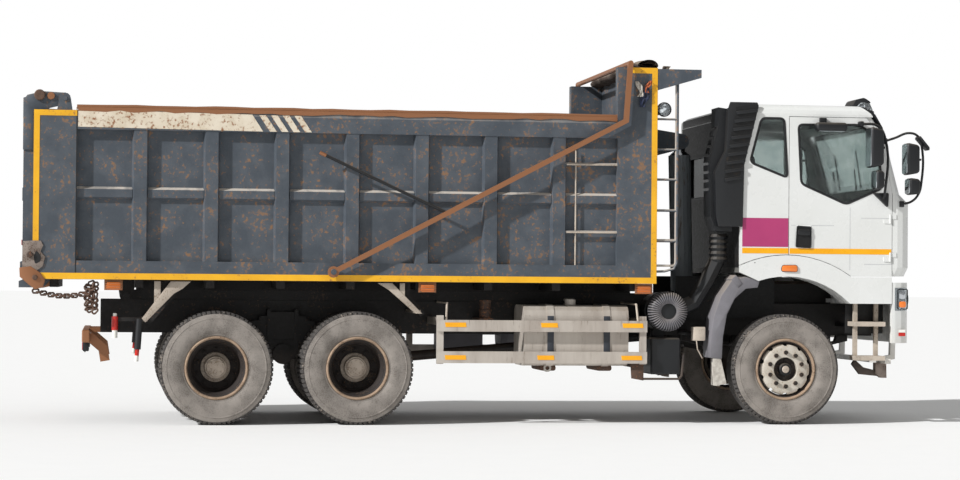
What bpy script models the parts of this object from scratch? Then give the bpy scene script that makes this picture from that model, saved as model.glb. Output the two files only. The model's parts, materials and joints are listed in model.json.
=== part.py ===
"""Three-axle dump truck with a ribbed open bed, a front hoist and a cab over the engine.

Metres, +X forward, +Y to the truck's left, +Z up. Sizes along the truck are measured from the
middle axle, and the empty "truck" then carries everything to the centre of its box on the ground.
Every side piece is modelled on the left and mirrored to the right.
"""
import math

import bmesh
import bpy
from mathutils import Matrix, Vector

# Gaps
SEAT = 0.0003          # between two pieces that rest on each other
RUNNING = 0.006        # between pieces that move past each other
PIN_PLAY = 0.0003      # extra radius of a bore round its pin

# Wheels and axles
WHEELBASE = 4.250      # middle axle to front axle
BOGIE_SPACING = 1.350  # middle axle to rear axle
TYRE_RADIUS = 0.545
TYRE_WIDTH = 0.300
WIDTH_OVER_TYRES = 2.480
TWIN_PITCH = 0.350     # between the centre planes of twin tyres
BEAD_RADIUS = 0.304
RIM_LIP = 0.018          # radial width of the rim's lip
RIM_WELL_RADIUS = 0.255
DRUM_RADIUS = 0.205
WHEEL_SIDES = 20
PIN_SIDES = 16
AXLE_END_RADIUS = 0.070
AXLE_END_DEPTH = 0.100  # free length of the bore behind a twin wheel's middle plane
STUB_RADIUS = 0.042
KINGPIN_Y = 0.920
KINGPIN_RADIUS = 0.022

# Frame
RAIL_OUTER_Y = 0.430
RAIL_FLANGE = 0.090
RAIL_WALL = 0.012
RAIL_BOTTOM = 0.864
RAIL_TOP = 1.186
FRAME_REAR = -2.450
FRAME_FRONT = 5.385
SUBFRAME_HEIGHT = 0.094
SUBFRAME_FRONT = 3.660

# Bed
BED_HALF_WIDTH = 1.250
BED_REAR = -3.087
BED_FRONT = 2.929
BED_BOTTOM = 1.380
FLOOR_THICKNESS = 0.060
SILL_TOP = 1.558
RAIL_UNDER = 2.800
RAIL_CAP_TOP = 3.010
SIDE_INNER_Y = 1.140
SKIN_OUTER_Y = 1.180
REAR_POST_LENGTH = 0.404
REAR_POST_TOP = 2.980
FRONT_POST_LENGTH = 0.399
HEADBOARD_TOP = 3.500
HEADBOARD_THICKNESS = 0.060
RIB_COUNT = 7
RIB_FIRST_X = -2.170
RIB_PITCH = 0.6735
RIB_WIDTH = 0.165
RIB_SLOPE = 0.022
STIFFENER_BOTTOM = 2.131
STIFFENER_TOP = 2.267
CANOPY_LENGTH = 0.440
BED_PIN_X = -2.200
BED_PIN_Z = 1.2225
BED_PIN_RADIUS = 0.035

# Tailgate
TAILGATE_THICKNESS = 0.100
TAILGATE_HALF_WIDTH = 1.190
TAILGATE_PIN_X = -2.800
TAILGATE_PIN_Z = 3.090
TAILGATE_PIN_RADIUS = 0.022
HOOK_REAR = -3.210

# Tarp bow
BOW_PIN_X = -0.250
BOW_PIN_Z = 1.470
BOW_INNER_Y = 1.290
BOW_OUTER_Y = 1.335

# Hoist
HOIST_PIN_X = 3.490
HOIST_PIN_Z = 1.250
HOIST_EYE_X = 3.450
HOIST_EYE_Z = 2.850
HOIST_TUBE_LENGTH = 1.400
HOIST_WALL = 0.010

# Cab
CAB_HALF_WIDTH = 1.240
CAB_WALL = 0.050
CAB_REAR = 3.774
CAB_FRONT = 5.536
CAB_BOTTOM = 1.475
CAB_FLOOR_TOP = 1.550
CAB_HEADER = 3.055     # where the roof pan sits on the side panels
CAB_ROOF = 3.168
DOOR_REAR = 4.270
DOOR_FRONT = 5.328
DOOR_BOTTOM = 1.469
DOOR_TOP = 3.045
ARCH_RADIUS = 0.920
FLARE_RADIUS = 1.130
CAB_PIVOT_X = 5.340
CAB_PIVOT_Z = 1.000
CAB_PIVOT_RADIUS = 0.030
CAB_ARM_Y = 0.470
CAB_ARM_WIDTH = 0.040

# Ends of the whole truck, which centre it on its origin
TRUCK_REAR = HOOK_REAR
TRUCK_FRONT = 5.7032

TYRE_CENTRE_Y = (WIDTH_OVER_TYRES - TYRE_WIDTH) / 2
TWIN_CENTRE_Y = TYRE_CENTRE_Y - TWIN_PITCH / 2
SUBFRAME_TOP = RAIL_TOP + SEAT + SUBFRAME_HEIGHT


def clear_scene():
    """Remove every object that the new file starts with."""
    for item in list(bpy.data.objects):
        bpy.data.objects.remove(item, do_unlink=True)


def paint(name, colour, roughness, metallic=0.0):
    """Make a material from a linear colour."""
    material = bpy.data.materials.new(name)
    material.use_nodes = True
    shader = material.node_tree.nodes["Principled BSDF"]
    shader.inputs["Base Color"].default_value = (*colour, 1.0)
    shader.inputs["Roughness"].default_value = roughness
    shader.inputs["Metallic"].default_value = metallic
    material.diffuse_color = (*colour, 1.0)
    return material


# Shapes: each function returns an object that holds one closed shell


def as_object(bm):
    """Turn a bmesh into a linked object with its faces outwards."""
    bmesh.ops.recalc_face_normals(bm, faces=bm.faces)
    mesh = bpy.data.meshes.new("shape")
    bm.to_mesh(mesh)
    bm.free()
    shape = bpy.data.objects.new("shape", mesh)
    bpy.context.scene.collection.objects.link(shape)
    return shape


def box(x, y, z, bevel=0.0, segments=1):
    """Box between the low and high values of each axis, with all edges bevelled."""
    bm = bmesh.new()
    bmesh.ops.create_cube(bm, size=1.0)
    size = Vector((x[1] - x[0], y[1] - y[0], z[1] - z[0]))
    centre = Vector((x[1] + x[0], y[1] + y[0], z[1] + z[0])) / 2
    bmesh.ops.transform(bm, matrix=Matrix.Translation(centre) @ Matrix.Diagonal((*size, 1.0)), verts=bm.verts)
    if bevel:
        bmesh.ops.bevel(bm, geom=list(bm.edges), offset=bevel, segments=segments, profile=0.5, affect="EDGES")
    return as_object(bm)


PLANES = {"XZ": (0, 2, 1), "XY": (0, 1, 2), "YZ": (1, 2, 0)}


def prism(outline, plane, span):
    """Extrude a closed outline, drawn in a plane, along the third axis over a span."""
    first, second, along = PLANES[plane]
    bm = bmesh.new()
    corners = []
    for a, b in outline:
        point = [0.0, 0.0, 0.0]
        point[first], point[second], point[along] = a, b, span[0]
        corners.append(bm.verts.new(point))
    face = bm.faces.new(corners)
    grown = bmesh.ops.extrude_face_region(bm, geom=[face])
    move = [0.0, 0.0, 0.0]
    move[along] = span[1] - span[0]
    moved = [item for item in grown["geom"] if isinstance(item, bmesh.types.BMVert)]
    bmesh.ops.translate(bm, vec=Vector(move), verts=moved)
    return as_object(bm)


AXES = {"X": Vector((1, 0, 0)), "Y": Vector((0, 1, 0)), "Z": Vector((0, 0, 1))}


def turned(profile, centre, axis="Y", sides=WHEEL_SIDES):
    """Spin a profile of (radius, place along the axis) points round an axis."""
    along = AXES[axis]
    out = AXES["Z"] if axis != "Z" else AXES["X"]
    across = along.cross(out)
    centre = Vector(centre)
    bm = bmesh.new()
    rings = []
    for radius, place in profile:
        middle = centre + along * place
        angles = [2 * math.pi * i / sides for i in range(sides)] if radius > 0 else [0.0]
        rings.append([bm.verts.new(middle + (out * math.cos(a) + across * math.sin(a)) * radius) for a in angles])
    pairs = list(zip(rings, rings[1:]))
    if profile[0][0] > 0 or profile[-1][0] > 0:
        pairs.append((rings[-1], rings[0]))
    for first, second in pairs:
        for i in range(sides):
            j = (i + 1) % sides
            corners = [first[i % len(first)], first[j % len(first)], second[j % len(second)], second[i % len(second)]]
            bm.faces.new(list(dict.fromkeys(corners)))
    return as_object(bm)


def rod(start, end, radius, sides=12):
    """Round bar between two points."""
    start, end = Vector(start), Vector(end)
    run = end - start
    turn = run.to_track_quat("Z", "Y").to_matrix().to_4x4()
    bm = bmesh.new()
    bmesh.ops.create_cone(bm, cap_ends=True, segments=sides, radius1=radius, radius2=radius,
                          depth=run.length, matrix=Matrix.Translation((start + end) / 2) @ turn)
    return as_object(bm)


def pipe(points, radius, resolution=1):
    """Round bar along a chain of points, made as a bevelled curve with filled caps."""
    curve = bpy.data.curves.new("pipe", "CURVE")
    curve.dimensions = "3D"
    curve.bevel_depth = radius
    curve.bevel_resolution = resolution
    curve.use_fill_caps = True
    spline = curve.splines.new("POLY")
    spline.points.add(len(points) - 1)
    for knot, point in zip(spline.points, points):
        knot.co = (*point, 1.0)
    guide = bpy.data.objects.new("pipe", curve)
    bpy.context.scene.collection.objects.link(guide)
    bm = bmesh.new()
    bm.from_mesh(evaluated(guide))
    bmesh.ops.remove_doubles(bm, verts=bm.verts, dist=0.00001)
    bpy.data.objects.remove(guide, do_unlink=True)
    return as_object(bm)


def loft(sections):
    """Closed body through sections, each a loop of as many points, capped at both ends."""
    bm = bmesh.new()
    loops = [[bm.verts.new(point) for point in section] for section in sections]
    for low, high in zip(loops, loops[1:]):
        count = len(low)
        for i in range(count):
            j = (i + 1) % count
            bm.faces.new((low[i], low[j], high[j], high[i]))
    bm.faces.new(loops[0])
    bm.faces.new(loops[-1])
    return as_object(bm)


def arc(centre, radius, start, end, steps):
    """Points on an arc between two angles in degrees, both ends included."""
    angles = [math.radians(start + (end - start) * i / steps) for i in range(steps + 1)]
    return [(centre[0] + radius * math.cos(a), centre[1] + radius * math.sin(a)) for a in angles]


def strip(points, width):
    """Outline of a flat bar whose middle line runs through the points."""
    line = [Vector(point) for point in points]
    left, right = [], []
    for i, here in enumerate(line):
        before = (here - line[i - 1]).normalized() if i else None
        after = (line[i + 1] - here).normalized() if i < len(line) - 1 else None
        run = ((before or after) + (after or before)).normalized()
        side = Vector((-run.y, run.x))
        reach = width / 2 / max(side.dot(Vector((-(after or before).y, (after or before).x))), 0.3)
        left.append(tuple(here + side * reach))
        right.append(tuple(here - side * reach))
    return left + right[::-1]


def rounded_rect(low, high, radius, steps=3):
    """Outline of a rectangle with round corners."""
    (a0, b0), (a1, b1) = low, high
    corners = (((a1 - radius, b1 - radius), 0), ((a0 + radius, b1 - radius), 90),
               ((a0 + radius, b0 + radius), 180), ((a1 - radius, b0 + radius), 270))
    return [point for centre, turn in corners for point in arc(centre, radius, turn, turn + 90, steps)]


def bore_radius(pin, sides):
    """Radius of a faceted bore in which a faceted pin of a radius turns freely."""
    return (pin + PIN_PLAY) / math.cos(math.pi / sides)


# Joining shapes to pieces


def evaluated(item):
    """Mesh of an object with its modifiers."""
    graph = bpy.context.evaluated_depsgraph_get()
    return bpy.data.meshes.new_from_object(item.evaluated_get(graph))


def combine(body, other, operation, solver="EXACT"):
    """Apply a Boolean to a body and drop the other object."""
    cut = body.modifiers.new(operation.title(), "BOOLEAN")
    cut.operation = operation
    cut.solver = solver
    cut.object = other
    mesh = evaluated(body)
    body.modifiers.clear()
    body.data = mesh
    bpy.data.objects.remove(other, do_unlink=True)


def make(name, shapes, material, parent, cuts=(), within=None, side=1, solver="EXACT"):
    """Fuse shapes to one named piece, cut it, mirror it for the right side and hang it on a body."""
    body = shapes[0]
    for shape in shapes[1:]:
        combine(body, shape, "UNION", solver)
    for cutter in cuts:
        combine(body, cutter, "DIFFERENCE", solver)
    if within:
        combine(body, within, "INTERSECT")
    bm = bmesh.new()
    bm.from_mesh(body.data)
    if len(shapes) > 1 or cuts:
        bmesh.ops.dissolve_degenerate(bm, dist=0.00002, edges=bm.edges)
        bmesh.ops.dissolve_limit(bm, angle_limit=math.radians(0.2), verts=bm.verts, edges=bm.edges)
    if side < 0:
        bmesh.ops.scale(bm, vec=(1, -1, 1), verts=bm.verts)
        bmesh.ops.reverse_faces(bm, faces=bm.faces)
    bmesh.ops.translate(bm, vec=-Vector(parent["joint"]), verts=bm.verts)
    bm.to_mesh(body.data)
    bm.free()
    body.name = name
    body.data.name = name
    body.data.materials.clear()
    body.data.materials.append(material)
    body.data.shade_smooth()
    body.data.set_sharp_from_angle(angle=math.radians(32))
    body.parent = parent
    return body


def body(name, parent, joint):
    """Empty on a joint's axis that carries the pieces of one moving body."""
    empty = bpy.data.objects.new(name, None)
    bpy.context.scene.collection.objects.link(empty)
    empty["joint"] = joint
    empty.parent = parent
    empty.location = Vector(joint) - Vector(parent["joint"]) if parent else Vector(joint)
    return empty


def side_name(stem, side):
    """Name of a piece on the left (+1) or right (-1)."""
    return f"{stem}_{'left' if side > 0 else 'right'}"


# Wheels and axles


def tyre_outline(centre):
    """Half section of a tyre, from its outer bead over the tread to its inner bead."""
    half = TYRE_WIDTH / 2
    return [(BEAD_RADIUS, centre + half * 0.80), (TYRE_RADIUS * 0.74, centre + half),
            (TYRE_RADIUS * 0.945, centre + half * 0.90), (TYRE_RADIUS, centre + half * 0.68),
            (TYRE_RADIUS, centre - half * 0.68), (TYRE_RADIUS * 0.945, centre - half * 0.90),
            (TYRE_RADIUS * 0.74, centre - half), (BEAD_RADIUS, centre - half * 0.80)]


HUB_FLANGE_RADIUS = 0.143
HUB_CAP_RADIUS = 0.110
HUB_CAP_REACH = 0.150  # from the twin's middle plane
DISC_FACE = 0.020
DRUM_REACH = 0.300


def rim_lip(centre, way):
    """Rim's edge from the well out to the tyre's bead, on the side that a sign gives."""
    edge = centre + way * TYRE_WIDTH * 0.42
    inner = [(RIM_WELL_RADIUS, edge - way * 0.028), (BEAD_RADIUS - RIM_LIP - 0.004, edge), (BEAD_RADIUS - 0.004, edge)]
    return inner if way > 0 else inner[::-1]


def twin_wheel(name, axle_x, side, material, parent):
    """Two tyres on their rims, with the hub, cap and brake drum that join them."""
    half = TWIN_PITCH / 2
    gap = half - TYRE_WIDTH * 0.42
    between = RIM_WELL_RADIUS + 0.025
    bore = bore_radius(AXLE_END_RADIUS, WHEEL_SIDES)
    flange_face = DISC_FACE + 0.03
    profile = [(0, HUB_CAP_REACH), (HUB_CAP_RADIUS, HUB_CAP_REACH - 0.02), (HUB_CAP_RADIUS + 0.004, flange_face),
               (HUB_FLANGE_RADIUS, flange_face - 0.004), (HUB_FLANGE_RADIUS + 0.004, DISC_FACE),
               (RIM_WELL_RADIUS, DISC_FACE + 0.008)]
    profile += rim_lip(half, 1) + tyre_outline(half)
    profile += [(between, gap), (between, -gap)]
    profile += tyre_outline(-half) + rim_lip(-half, -1)
    profile += [(RIM_WELL_RADIUS, -DISC_FACE - 0.04),
                (DRUM_RADIUS, -DISC_FACE - 0.04), (DRUM_RADIUS, -DRUM_REACH),
                (bore, -DRUM_REACH), (bore, -AXLE_END_DEPTH), (0, -AXLE_END_DEPTH + 0.015)]
    wheel = turned(profile, (axle_x, TWIN_CENTRE_Y, TYRE_RADIUS))
    make(name, [wheel], material, parent, side=side)


def front_wheel(name, side, material, parent):
    """Single tyre on a disc that bulges out round an open hub."""
    bore = bore_radius(STUB_RADIUS, WHEEL_SIDES)
    profile = [(0, 0.135), (0.050, 0.130), (0.056, 0.060), (0.118, 0.060), (0.122, 0.120),
               (0.205, 0.125), (0.240, 0.085)]
    profile += rim_lip(0.0, 1) + tyre_outline(0.0) + rim_lip(0.0, -1)
    profile += [(RIM_WELL_RADIUS, 0.040),
                (DRUM_RADIUS, 0.040), (DRUM_RADIUS, -0.105), (bore, -0.105), (bore, 0.020), (0, 0.028)]
    wheel = turned(profile, (WHEELBASE, TYRE_CENTRE_Y, TYRE_RADIUS))
    make(name, [wheel], material, parent, side=side)


KNUCKLE_WEB_Y = 0.960
KNUCKLE_WEB = 0.014
EYE_RADIUS = 0.036
EYE_HALF_HEIGHT = 0.058
LUG_THICKNESS = 0.055


def knuckle(side, material, parent):
    """Fork with the kingpin, its web and the stub that carries the front wheel."""
    x, z = WHEELBASE, TYRE_RADIUS
    lug_low = z - EYE_HALF_HEIGHT - RUNNING - LUG_THICKNESS
    lug_high = z + EYE_HALF_HEIGHT + RUNNING
    web_y = (KNUCKLE_WEB_Y, KNUCKLE_WEB_Y + KNUCKLE_WEB)
    shapes = [box((x - 0.06, x + 0.06), web_y, (lug_low, lug_high + LUG_THICKNESS))]
    for low in (lug_low, lug_high):
        shapes.append(turned([(0, low), (0.042, low), (0.042, low + LUG_THICKNESS), (0, low + LUG_THICKNESS)],
                             (x, KINGPIN_Y, 0), "Z", PIN_SIDES))
        shapes.append(box((x - 0.04, x + 0.04), (KINGPIN_Y, KNUCKLE_WEB_Y + 0.005), (low, low + LUG_THICKNESS)))
    shapes.append(rod((x, KINGPIN_Y, lug_low + 0.01), (x, KINGPIN_Y, lug_high + 0.02), KINGPIN_RADIUS, PIN_SIDES))
    stub_end = TYRE_CENTRE_Y + 0.020 - SEAT
    shapes.append(rod((x, KNUCKLE_WEB_Y + 0.005, z), (x, stub_end, z), STUB_RADIUS, WHEEL_SIDES))
    make(side_name("knuckle", side), shapes, material, parent, side=side, solver="MANIFOLD")


SPRING_INNER_Y = 0.385
SPRING_OUTER_Y = 0.465
FRONT_SPRING_HALF = 0.820


def front_axle(material, parent):
    """Dropped beam with an eye for each kingpin, and the leaf springs on its pads."""
    x, z = WHEELBASE, TYRE_RADIUS
    beam = [(-KINGPIN_Y, z), (-0.780, z - 0.010), (-0.620, z - 0.075), (0.620, z - 0.075), (0.780, z - 0.010),
            (KINGPIN_Y, z)]
    shapes = [prism(strip(beam, 0.095), "YZ", (x - 0.035, x + 0.035))]
    cuts = []
    for s in (-1, 1):
        eye = [(0, z - EYE_HALF_HEIGHT), (EYE_RADIUS, z - EYE_HALF_HEIGHT), (EYE_RADIUS, z + EYE_HALF_HEIGHT),
               (0, z + EYE_HALF_HEIGHT)]
        shapes.append(turned(eye, (x, s * KINGPIN_Y, 0), "Z", PIN_SIDES))
        cuts.append(rod((x, s * KINGPIN_Y, z - 0.1), (x, s * KINGPIN_Y, z + 0.1),
                        bore_radius(KINGPIN_RADIUS, PIN_SIDES), PIN_SIDES))
        cuts.append(box((x - 0.1, x + 0.1), sorted((s * (KINGPIN_Y + EYE_RADIUS - 0.002), s * (KINGPIN_Y + 0.2))),
                        (z - 0.1, z + 0.1)))
        pad = sorted((s * (SPRING_INNER_Y - 0.01), s * (SPRING_OUTER_Y + 0.01)))
        shapes.append(box((x - 0.09, x + 0.09), pad, (z - 0.06, z + 0.075)))
        shapes.append(prism(front_spring_outline(), "XZ", sorted((s * SPRING_INNER_Y, s * SPRING_OUTER_Y))))
    make("front_axle", shapes, material, parent, cuts=cuts, solver="MANIFOLD")


def front_spring_outline():
    """Side view of a front leaf stack: long main leaf above, shorter leaves stepped below it."""
    x, seat = WHEELBASE, TYRE_RADIUS + 0.045
    rise = RAIL_BOTTOM - SEAT - 0.030 - (seat + 0.125)
    leaves = [(0.28, seat), (0.46, seat + 0.030), (0.64, seat + 0.060), (FRONT_SPRING_HALF, seat + 0.090)]

    def lift(reach):
        return rise * (reach / FRONT_SPRING_HALF) ** 2

    right = []
    for reach, level in leaves:
        right += [(reach, level + lift(reach)), (reach, level + 0.030 + lift(reach))]
    top_end = right[-1][1]
    right = right[:-1] + [(FRONT_SPRING_HALF + 0.05, top_end - 0.02), (FRONT_SPRING_HALF + 0.05, RAIL_BOTTOM - SEAT),
                          (FRONT_SPRING_HALF - 0.06, RAIL_BOTTOM - SEAT), (FRONT_SPRING_HALF - 0.08, top_end - 0.02),
                          (0.45, seat + 0.125 + lift(0.45)), (0.20, seat + 0.125)]
    left = [(-a, b) for a, b in reversed(right)]
    return [(x + a, b) for a, b in right + left]


AXLE_PAD_TOP = 0.655


def drive_axle(name, axle_x, nose, material, parent):
    """Tube with a round differential housing, its nose and the pads for the springs."""
    z = TYRE_RADIUS
    end = TWIN_CENTRE_Y - AXLE_END_DEPTH - SEAT
    housing = [(0, -end), (AXLE_END_RADIUS, -end), (AXLE_END_RADIUS, -0.30), (0.165, -0.19), (0.215, -0.07),
               (0.215, 0.07), (0.165, 0.19), (AXLE_END_RADIUS, 0.30), (AXLE_END_RADIUS, end), (0, end)]
    shapes = [turned(housing, (axle_x, 0, z), "Y", 16),
              rod((axle_x + 0.10, 0, z + 0.03), (axle_x + nose, 0, z + 0.055), 0.085, PIN_SIDES)]
    for s in (-1, 1):
        shapes.append(box((axle_x - 0.07, axle_x + 0.07), sorted((s * 0.445, s * 0.545)), (z - 0.02, AXLE_PAD_TOP)))
    make(name, shapes, material, parent)


BOGIE_SPRING_INNER = 0.450
BOGIE_SPRING_OUTER = 0.540
BOGIE_LEAVES = 8
BOGIE_LEAF = 0.036
BOGIE_SEAT_Z = 0.790
TRUNNION_Z = 0.660
TRUNNION_RADIUS = 0.070


def bogie_springs(material, parent):
    """Two stepped leaf stacks, clamped over the trunnion tube between the rear axles."""
    centre = -BOGIE_SPACING / 2
    reach = BOGIE_SPACING / 2 + 0.070
    tip = AXLE_PAD_TOP + SEAT
    drop = BOGIE_SEAT_Z - tip
    half = [(reach, tip), (reach, tip + BOGIE_LEAF)]
    for i in range(1, BOGIE_LEAVES):
        length = reach * (1 - 0.115 * i)
        level = BOGIE_SEAT_Z - drop * (length / reach) ** 2 + BOGIE_LEAF * i
        half += [(length, level), (length, level + BOGIE_LEAF)]
    under = [(reach * f, BOGIE_SEAT_Z - drop * f ** 2) for f in (0.0, 0.35, 0.6, 0.8)]
    outline = [(centre + a, b) for a, b in under + half]
    outline += [(centre - a, b) for a, b in reversed(under[1:] + half)]
    shapes = [rod((centre, -BOGIE_SPRING_OUTER - 0.02, TRUNNION_Z), (centre, BOGIE_SPRING_OUTER + 0.02, TRUNNION_Z),
                  TRUNNION_RADIUS, PIN_SIDES)]
    stack_top = BOGIE_SEAT_Z + BOGIE_LEAF * BOGIE_LEAVES
    for s in (-1, 1):
        shapes.append(prism(outline, "XZ", sorted((s * BOGIE_SPRING_INNER, s * BOGIE_SPRING_OUTER))))
        wide = sorted((s * (BOGIE_SPRING_INNER - 0.008), s * (BOGIE_SPRING_OUTER + 0.012)))
        shapes.append(box((centre - 0.13, centre + 0.13), wide, (TRUNNION_Z - 0.05, BOGIE_SEAT_Z + 0.01)))
        for x in (-0.135, 0.135):
            shapes.append(box((centre + x - 0.02, centre + x + 0.02), wide, (TRUNNION_Z, stack_top + 0.02)))
        shapes.append(rod((centre, s * BOGIE_SPRING_OUTER, TRUNNION_Z),
                          (centre, s * (BOGIE_SPRING_OUTER + 0.045), TRUNNION_Z), 0.100, 16))
    make("bogie_springs", shapes, material, parent)


# Chassis


CROSSMEMBERS = (-2.405, -1.500, -0.675, 0.700, 1.850, 3.000, 5.180)


def frame(material, parent):
    """Two channel rails joined by cross members, with spring, trunnion and cab brackets."""
    y0, y1, t = RAIL_OUTER_Y - RAIL_FLANGE, RAIL_OUTER_Y, RAIL_WALL
    shapes = []
    for s in (-1, 1):
        channel = [(y1, RAIL_BOTTOM), (y1, RAIL_TOP), (y0, RAIL_TOP), (y0, RAIL_TOP - t), (y1 - t, RAIL_TOP - t),
                   (y1 - t, RAIL_BOTTOM + t), (y0, RAIL_BOTTOM + t), (y0, RAIL_BOTTOM)]
        shapes.append(prism([(s * a, b) for a, b in channel], "YZ", (FRAME_REAR, FRAME_FRONT)))
        hanger = [(-0.16, RAIL_BOTTOM + 0.05), (0.16, RAIL_BOTTOM + 0.05), (0.06, TRUNNION_Z + TRUNNION_RADIUS + SEAT),
                  (-0.06, TRUNNION_Z + TRUNNION_RADIUS + SEAT)]
        shapes.append(prism([(a - BOGIE_SPACING / 2, b) for a, b in hanger], "XZ",
                            sorted((s * (y0 + 0.01), s * (y1 - 0.004)))))
    for x in CROSSMEMBERS:
        shapes.append(box((x - 0.04, x + 0.04), (-y1 + t / 2, y1 - t / 2), (RAIL_BOTTOM + 0.05, RAIL_TOP - 0.05)))
    reach = CAB_ARM_Y + CAB_ARM_WIDTH + 0.030
    shapes.append(rod((CAB_PIVOT_X, -reach, CAB_PIVOT_Z), (CAB_PIVOT_X, reach, CAB_PIVOT_Z), CAB_PIVOT_RADIUS, PIN_SIDES))
    make("frame", shapes, material, parent)


def subframe(material, parent):
    """Beams on the rails that carry the bed's hinge tube and the foot of the hoist."""
    y0, y1 = RAIL_OUTER_Y - RAIL_FLANGE, RAIL_OUTER_Y - 0.010
    bottom = RAIL_TOP + SEAT
    shapes = []
    for s in (-1, 1):
        shapes.append(box((BED_PIN_X - 0.05, SUBFRAME_FRONT), sorted((s * y0, s * y1)), (bottom, SUBFRAME_TOP)))
    for x in (-1.90, 0.20, 1.90):
        shapes.append(box((x - 0.04, x + 0.04), (-y1 + 0.01, y1 - 0.01), (bottom + 0.01, SUBFRAME_TOP - 0.01)))
    shapes.append(rod((BED_PIN_X, -0.505, BED_PIN_Z), (BED_PIN_X, 0.505, BED_PIN_Z), BED_PIN_RADIUS, PIN_SIDES))
    hoist_box = (HOIST_PIN_X - 0.14, HOIST_PIN_X + 0.14)
    shapes.append(box(hoist_box, (-y1 + 0.01, -0.145), (bottom + 0.005, SUBFRAME_TOP - 0.005)))
    shapes.append(box(hoist_box, (0.145, y1 - 0.01), (bottom + 0.005, SUBFRAME_TOP - 0.005)))
    for s in (-1, 1):
        ear = arc((HOIST_PIN_X, HOIST_PIN_Z), 0.07, 0, 180, 6) + [(HOIST_PIN_X - 0.07, bottom + 0.01),
                                                                  (HOIST_PIN_X + 0.07, bottom + 0.01)]
        shapes.append(prism(ear, "XZ", sorted((s * 0.145, s * 0.175))))
    front_cross = (SUBFRAME_FRONT - 0.06, SUBFRAME_FRONT - 0.005)
    shapes.append(box(front_cross, (-y1 + 0.01, y1 - 0.01), (bottom + 0.01, SUBFRAME_TOP - 0.01)))
    make("subframe", shapes, material, parent)


def engine(material, parent):
    """Engine and gearbox as plain blocks on their mounts, with the shaft to the middle axle."""
    z = 1.02
    shapes = [box((3.960, 5.000), (-0.30, 0.30), (0.74, 1.42), 0.03),
              box((3.300, 3.980), (-0.17, 0.17), (0.76, 1.10), 0.03),
              rod((0.372, 0, 0.602), (3.320, 0, 0.86), 0.050, PIN_SIDES)]
    for x in (4.15, 4.85):
        shapes.append(box((x - 0.05, x + 0.05), (-RAIL_OUTER_Y + RAIL_WALL + SEAT, RAIL_OUTER_Y - RAIL_WALL - SEAT),
                          (z - 0.04, z + 0.04)))
    make("engine_driveline", shapes, material, parent)


TANK = {"x": (1.633, 2.674), "y": (0.560, 1.150), "z": (0.571, 1.164)}
TANK_STRAPS = (1.895, 2.455)
TANK_CAP_X = 2.127


def fuel_tank(material, parent):
    """Rounded tank with two straps, brackets to the rail and its filler."""
    (x0, x1), (y0, y1), (z0, z1) = TANK["x"], TANK["y"], TANK["z"]
    shapes = [prism(rounded_rect((y0, z0), (y1, z1), 0.10), "YZ", (x0, x1))]
    for x in TANK_STRAPS:
        grown = rounded_rect((y0 - 0.008, z0 - 0.008), (y1 + 0.008, z1 + 0.008), 0.108)
        shapes.append(prism(grown, "YZ", (x - 0.035, x + 0.035)))
        shapes.append(box((x - 0.03, x + 0.03), (RAIL_OUTER_Y + SEAT, y0 + 0.02), (0.90, 1.10)))
    shapes.append(rod((TANK_CAP_X, 0.95, z1 - 0.02), (TANK_CAP_X, 0.95, z1 + 0.055), 0.055, 16))
    make("fuel_tank_right", shapes, material, parent, side=-1)


def silencer(material, parent):
    """Exhaust silencer and battery box on the left rail."""
    shapes = [turned([(0, 1.70), (0.22, 1.70), (0.26, 1.76), (0.26, 2.50), (0.22, 2.56), (0, 2.56)],
                     (0, 0.83, 0.86), "X", 20),
              box((1.05, 1.50), (0.58, 1.10), (0.64, 1.06), 0.02),
              box((1.45, 1.75), (0.70, 0.80), (0.83, 0.90)),
              box((1.24, 1.32), (RAIL_OUTER_Y + SEAT, 0.60), (0.90, 1.00)),
              box((2.10, 2.18), (RAIL_OUTER_Y + SEAT, 0.60), (0.90, 1.00))]
    make("silencer_battery_left", shapes, material, parent)


AIR_DRUM = {"x": 3.070, "z": 1.110, "radius": 0.186}


def air_cleaner(material, parent):
    """Drum on its side with the pipe and bellows that meet the cab's intake."""
    x, z, r = AIR_DRUM["x"], AIR_DRUM["z"], AIR_DRUM["radius"]
    shapes = [turned([(0, 0.66), (r - 0.02, 0.66), (r, 0.68), (r, 1.14), (r - 0.02, 1.17), (0.10, 1.17), (0.09, 1.13),
                      (0, 1.13)], (x, 0, z), "Y", 20),
              pipe([(x + 0.10, 0.98, z), (x + 0.30, 0.98, z + 0.09), (3.500, 1.00, 1.42), (3.600, 1.00, 1.62)],
                   0.080, 2),
              box((2.900, 3.200), (0.60, 1.15), (0.490, 0.850), 0.015),
              box((3.020, 3.120), (0.60, 0.74), (0.80, 1.00)),
              box((3.020, 3.120), (RAIL_OUTER_Y + SEAT, 0.70), (0.98, 1.08))]
    rings = [(0, 1.60)]
    for i in range(5):
        low = 1.60 + i * 0.056
        rings += [(0.082, low), (0.098, low + 0.028)]
    rings += [(0.082, 1.880), (0, 1.880)]
    shapes.append(turned(rings, (3.610, 1.00, 0), "Z", PIN_SIDES))
    make("air_cleaner_right", shapes, material, parent, side=-1)


GUARD = {"x": (0.765, 2.843), "outer_y": 1.235, "depth": 0.030, "rails": ((0.905, 1.016), (0.599, 0.713))}


def side_guard(side, material, parent):
    """Two flat rails on posts, held out from the frame by arms."""
    x0, x1 = GUARD["x"]
    y1 = GUARD["outer_y"]
    y0 = y1 - GUARD["depth"]
    shapes = [box((x0, x1), (y0, y1), rail) for rail in GUARD["rails"]]
    for x in (x0 + 0.035, x1 - 0.035):
        shapes.append(box((x - 0.033, x + 0.033), (y0 - 0.035, y0 + 0.002), (0.590, 1.060)))
        shapes.append(box((x - 0.025, x + 0.025), (RAIL_OUTER_Y + SEAT, y0 - 0.01), (0.965, 1.040)))
    make(side_name("side_guard", side), shapes, material, parent, side=side)


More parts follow.
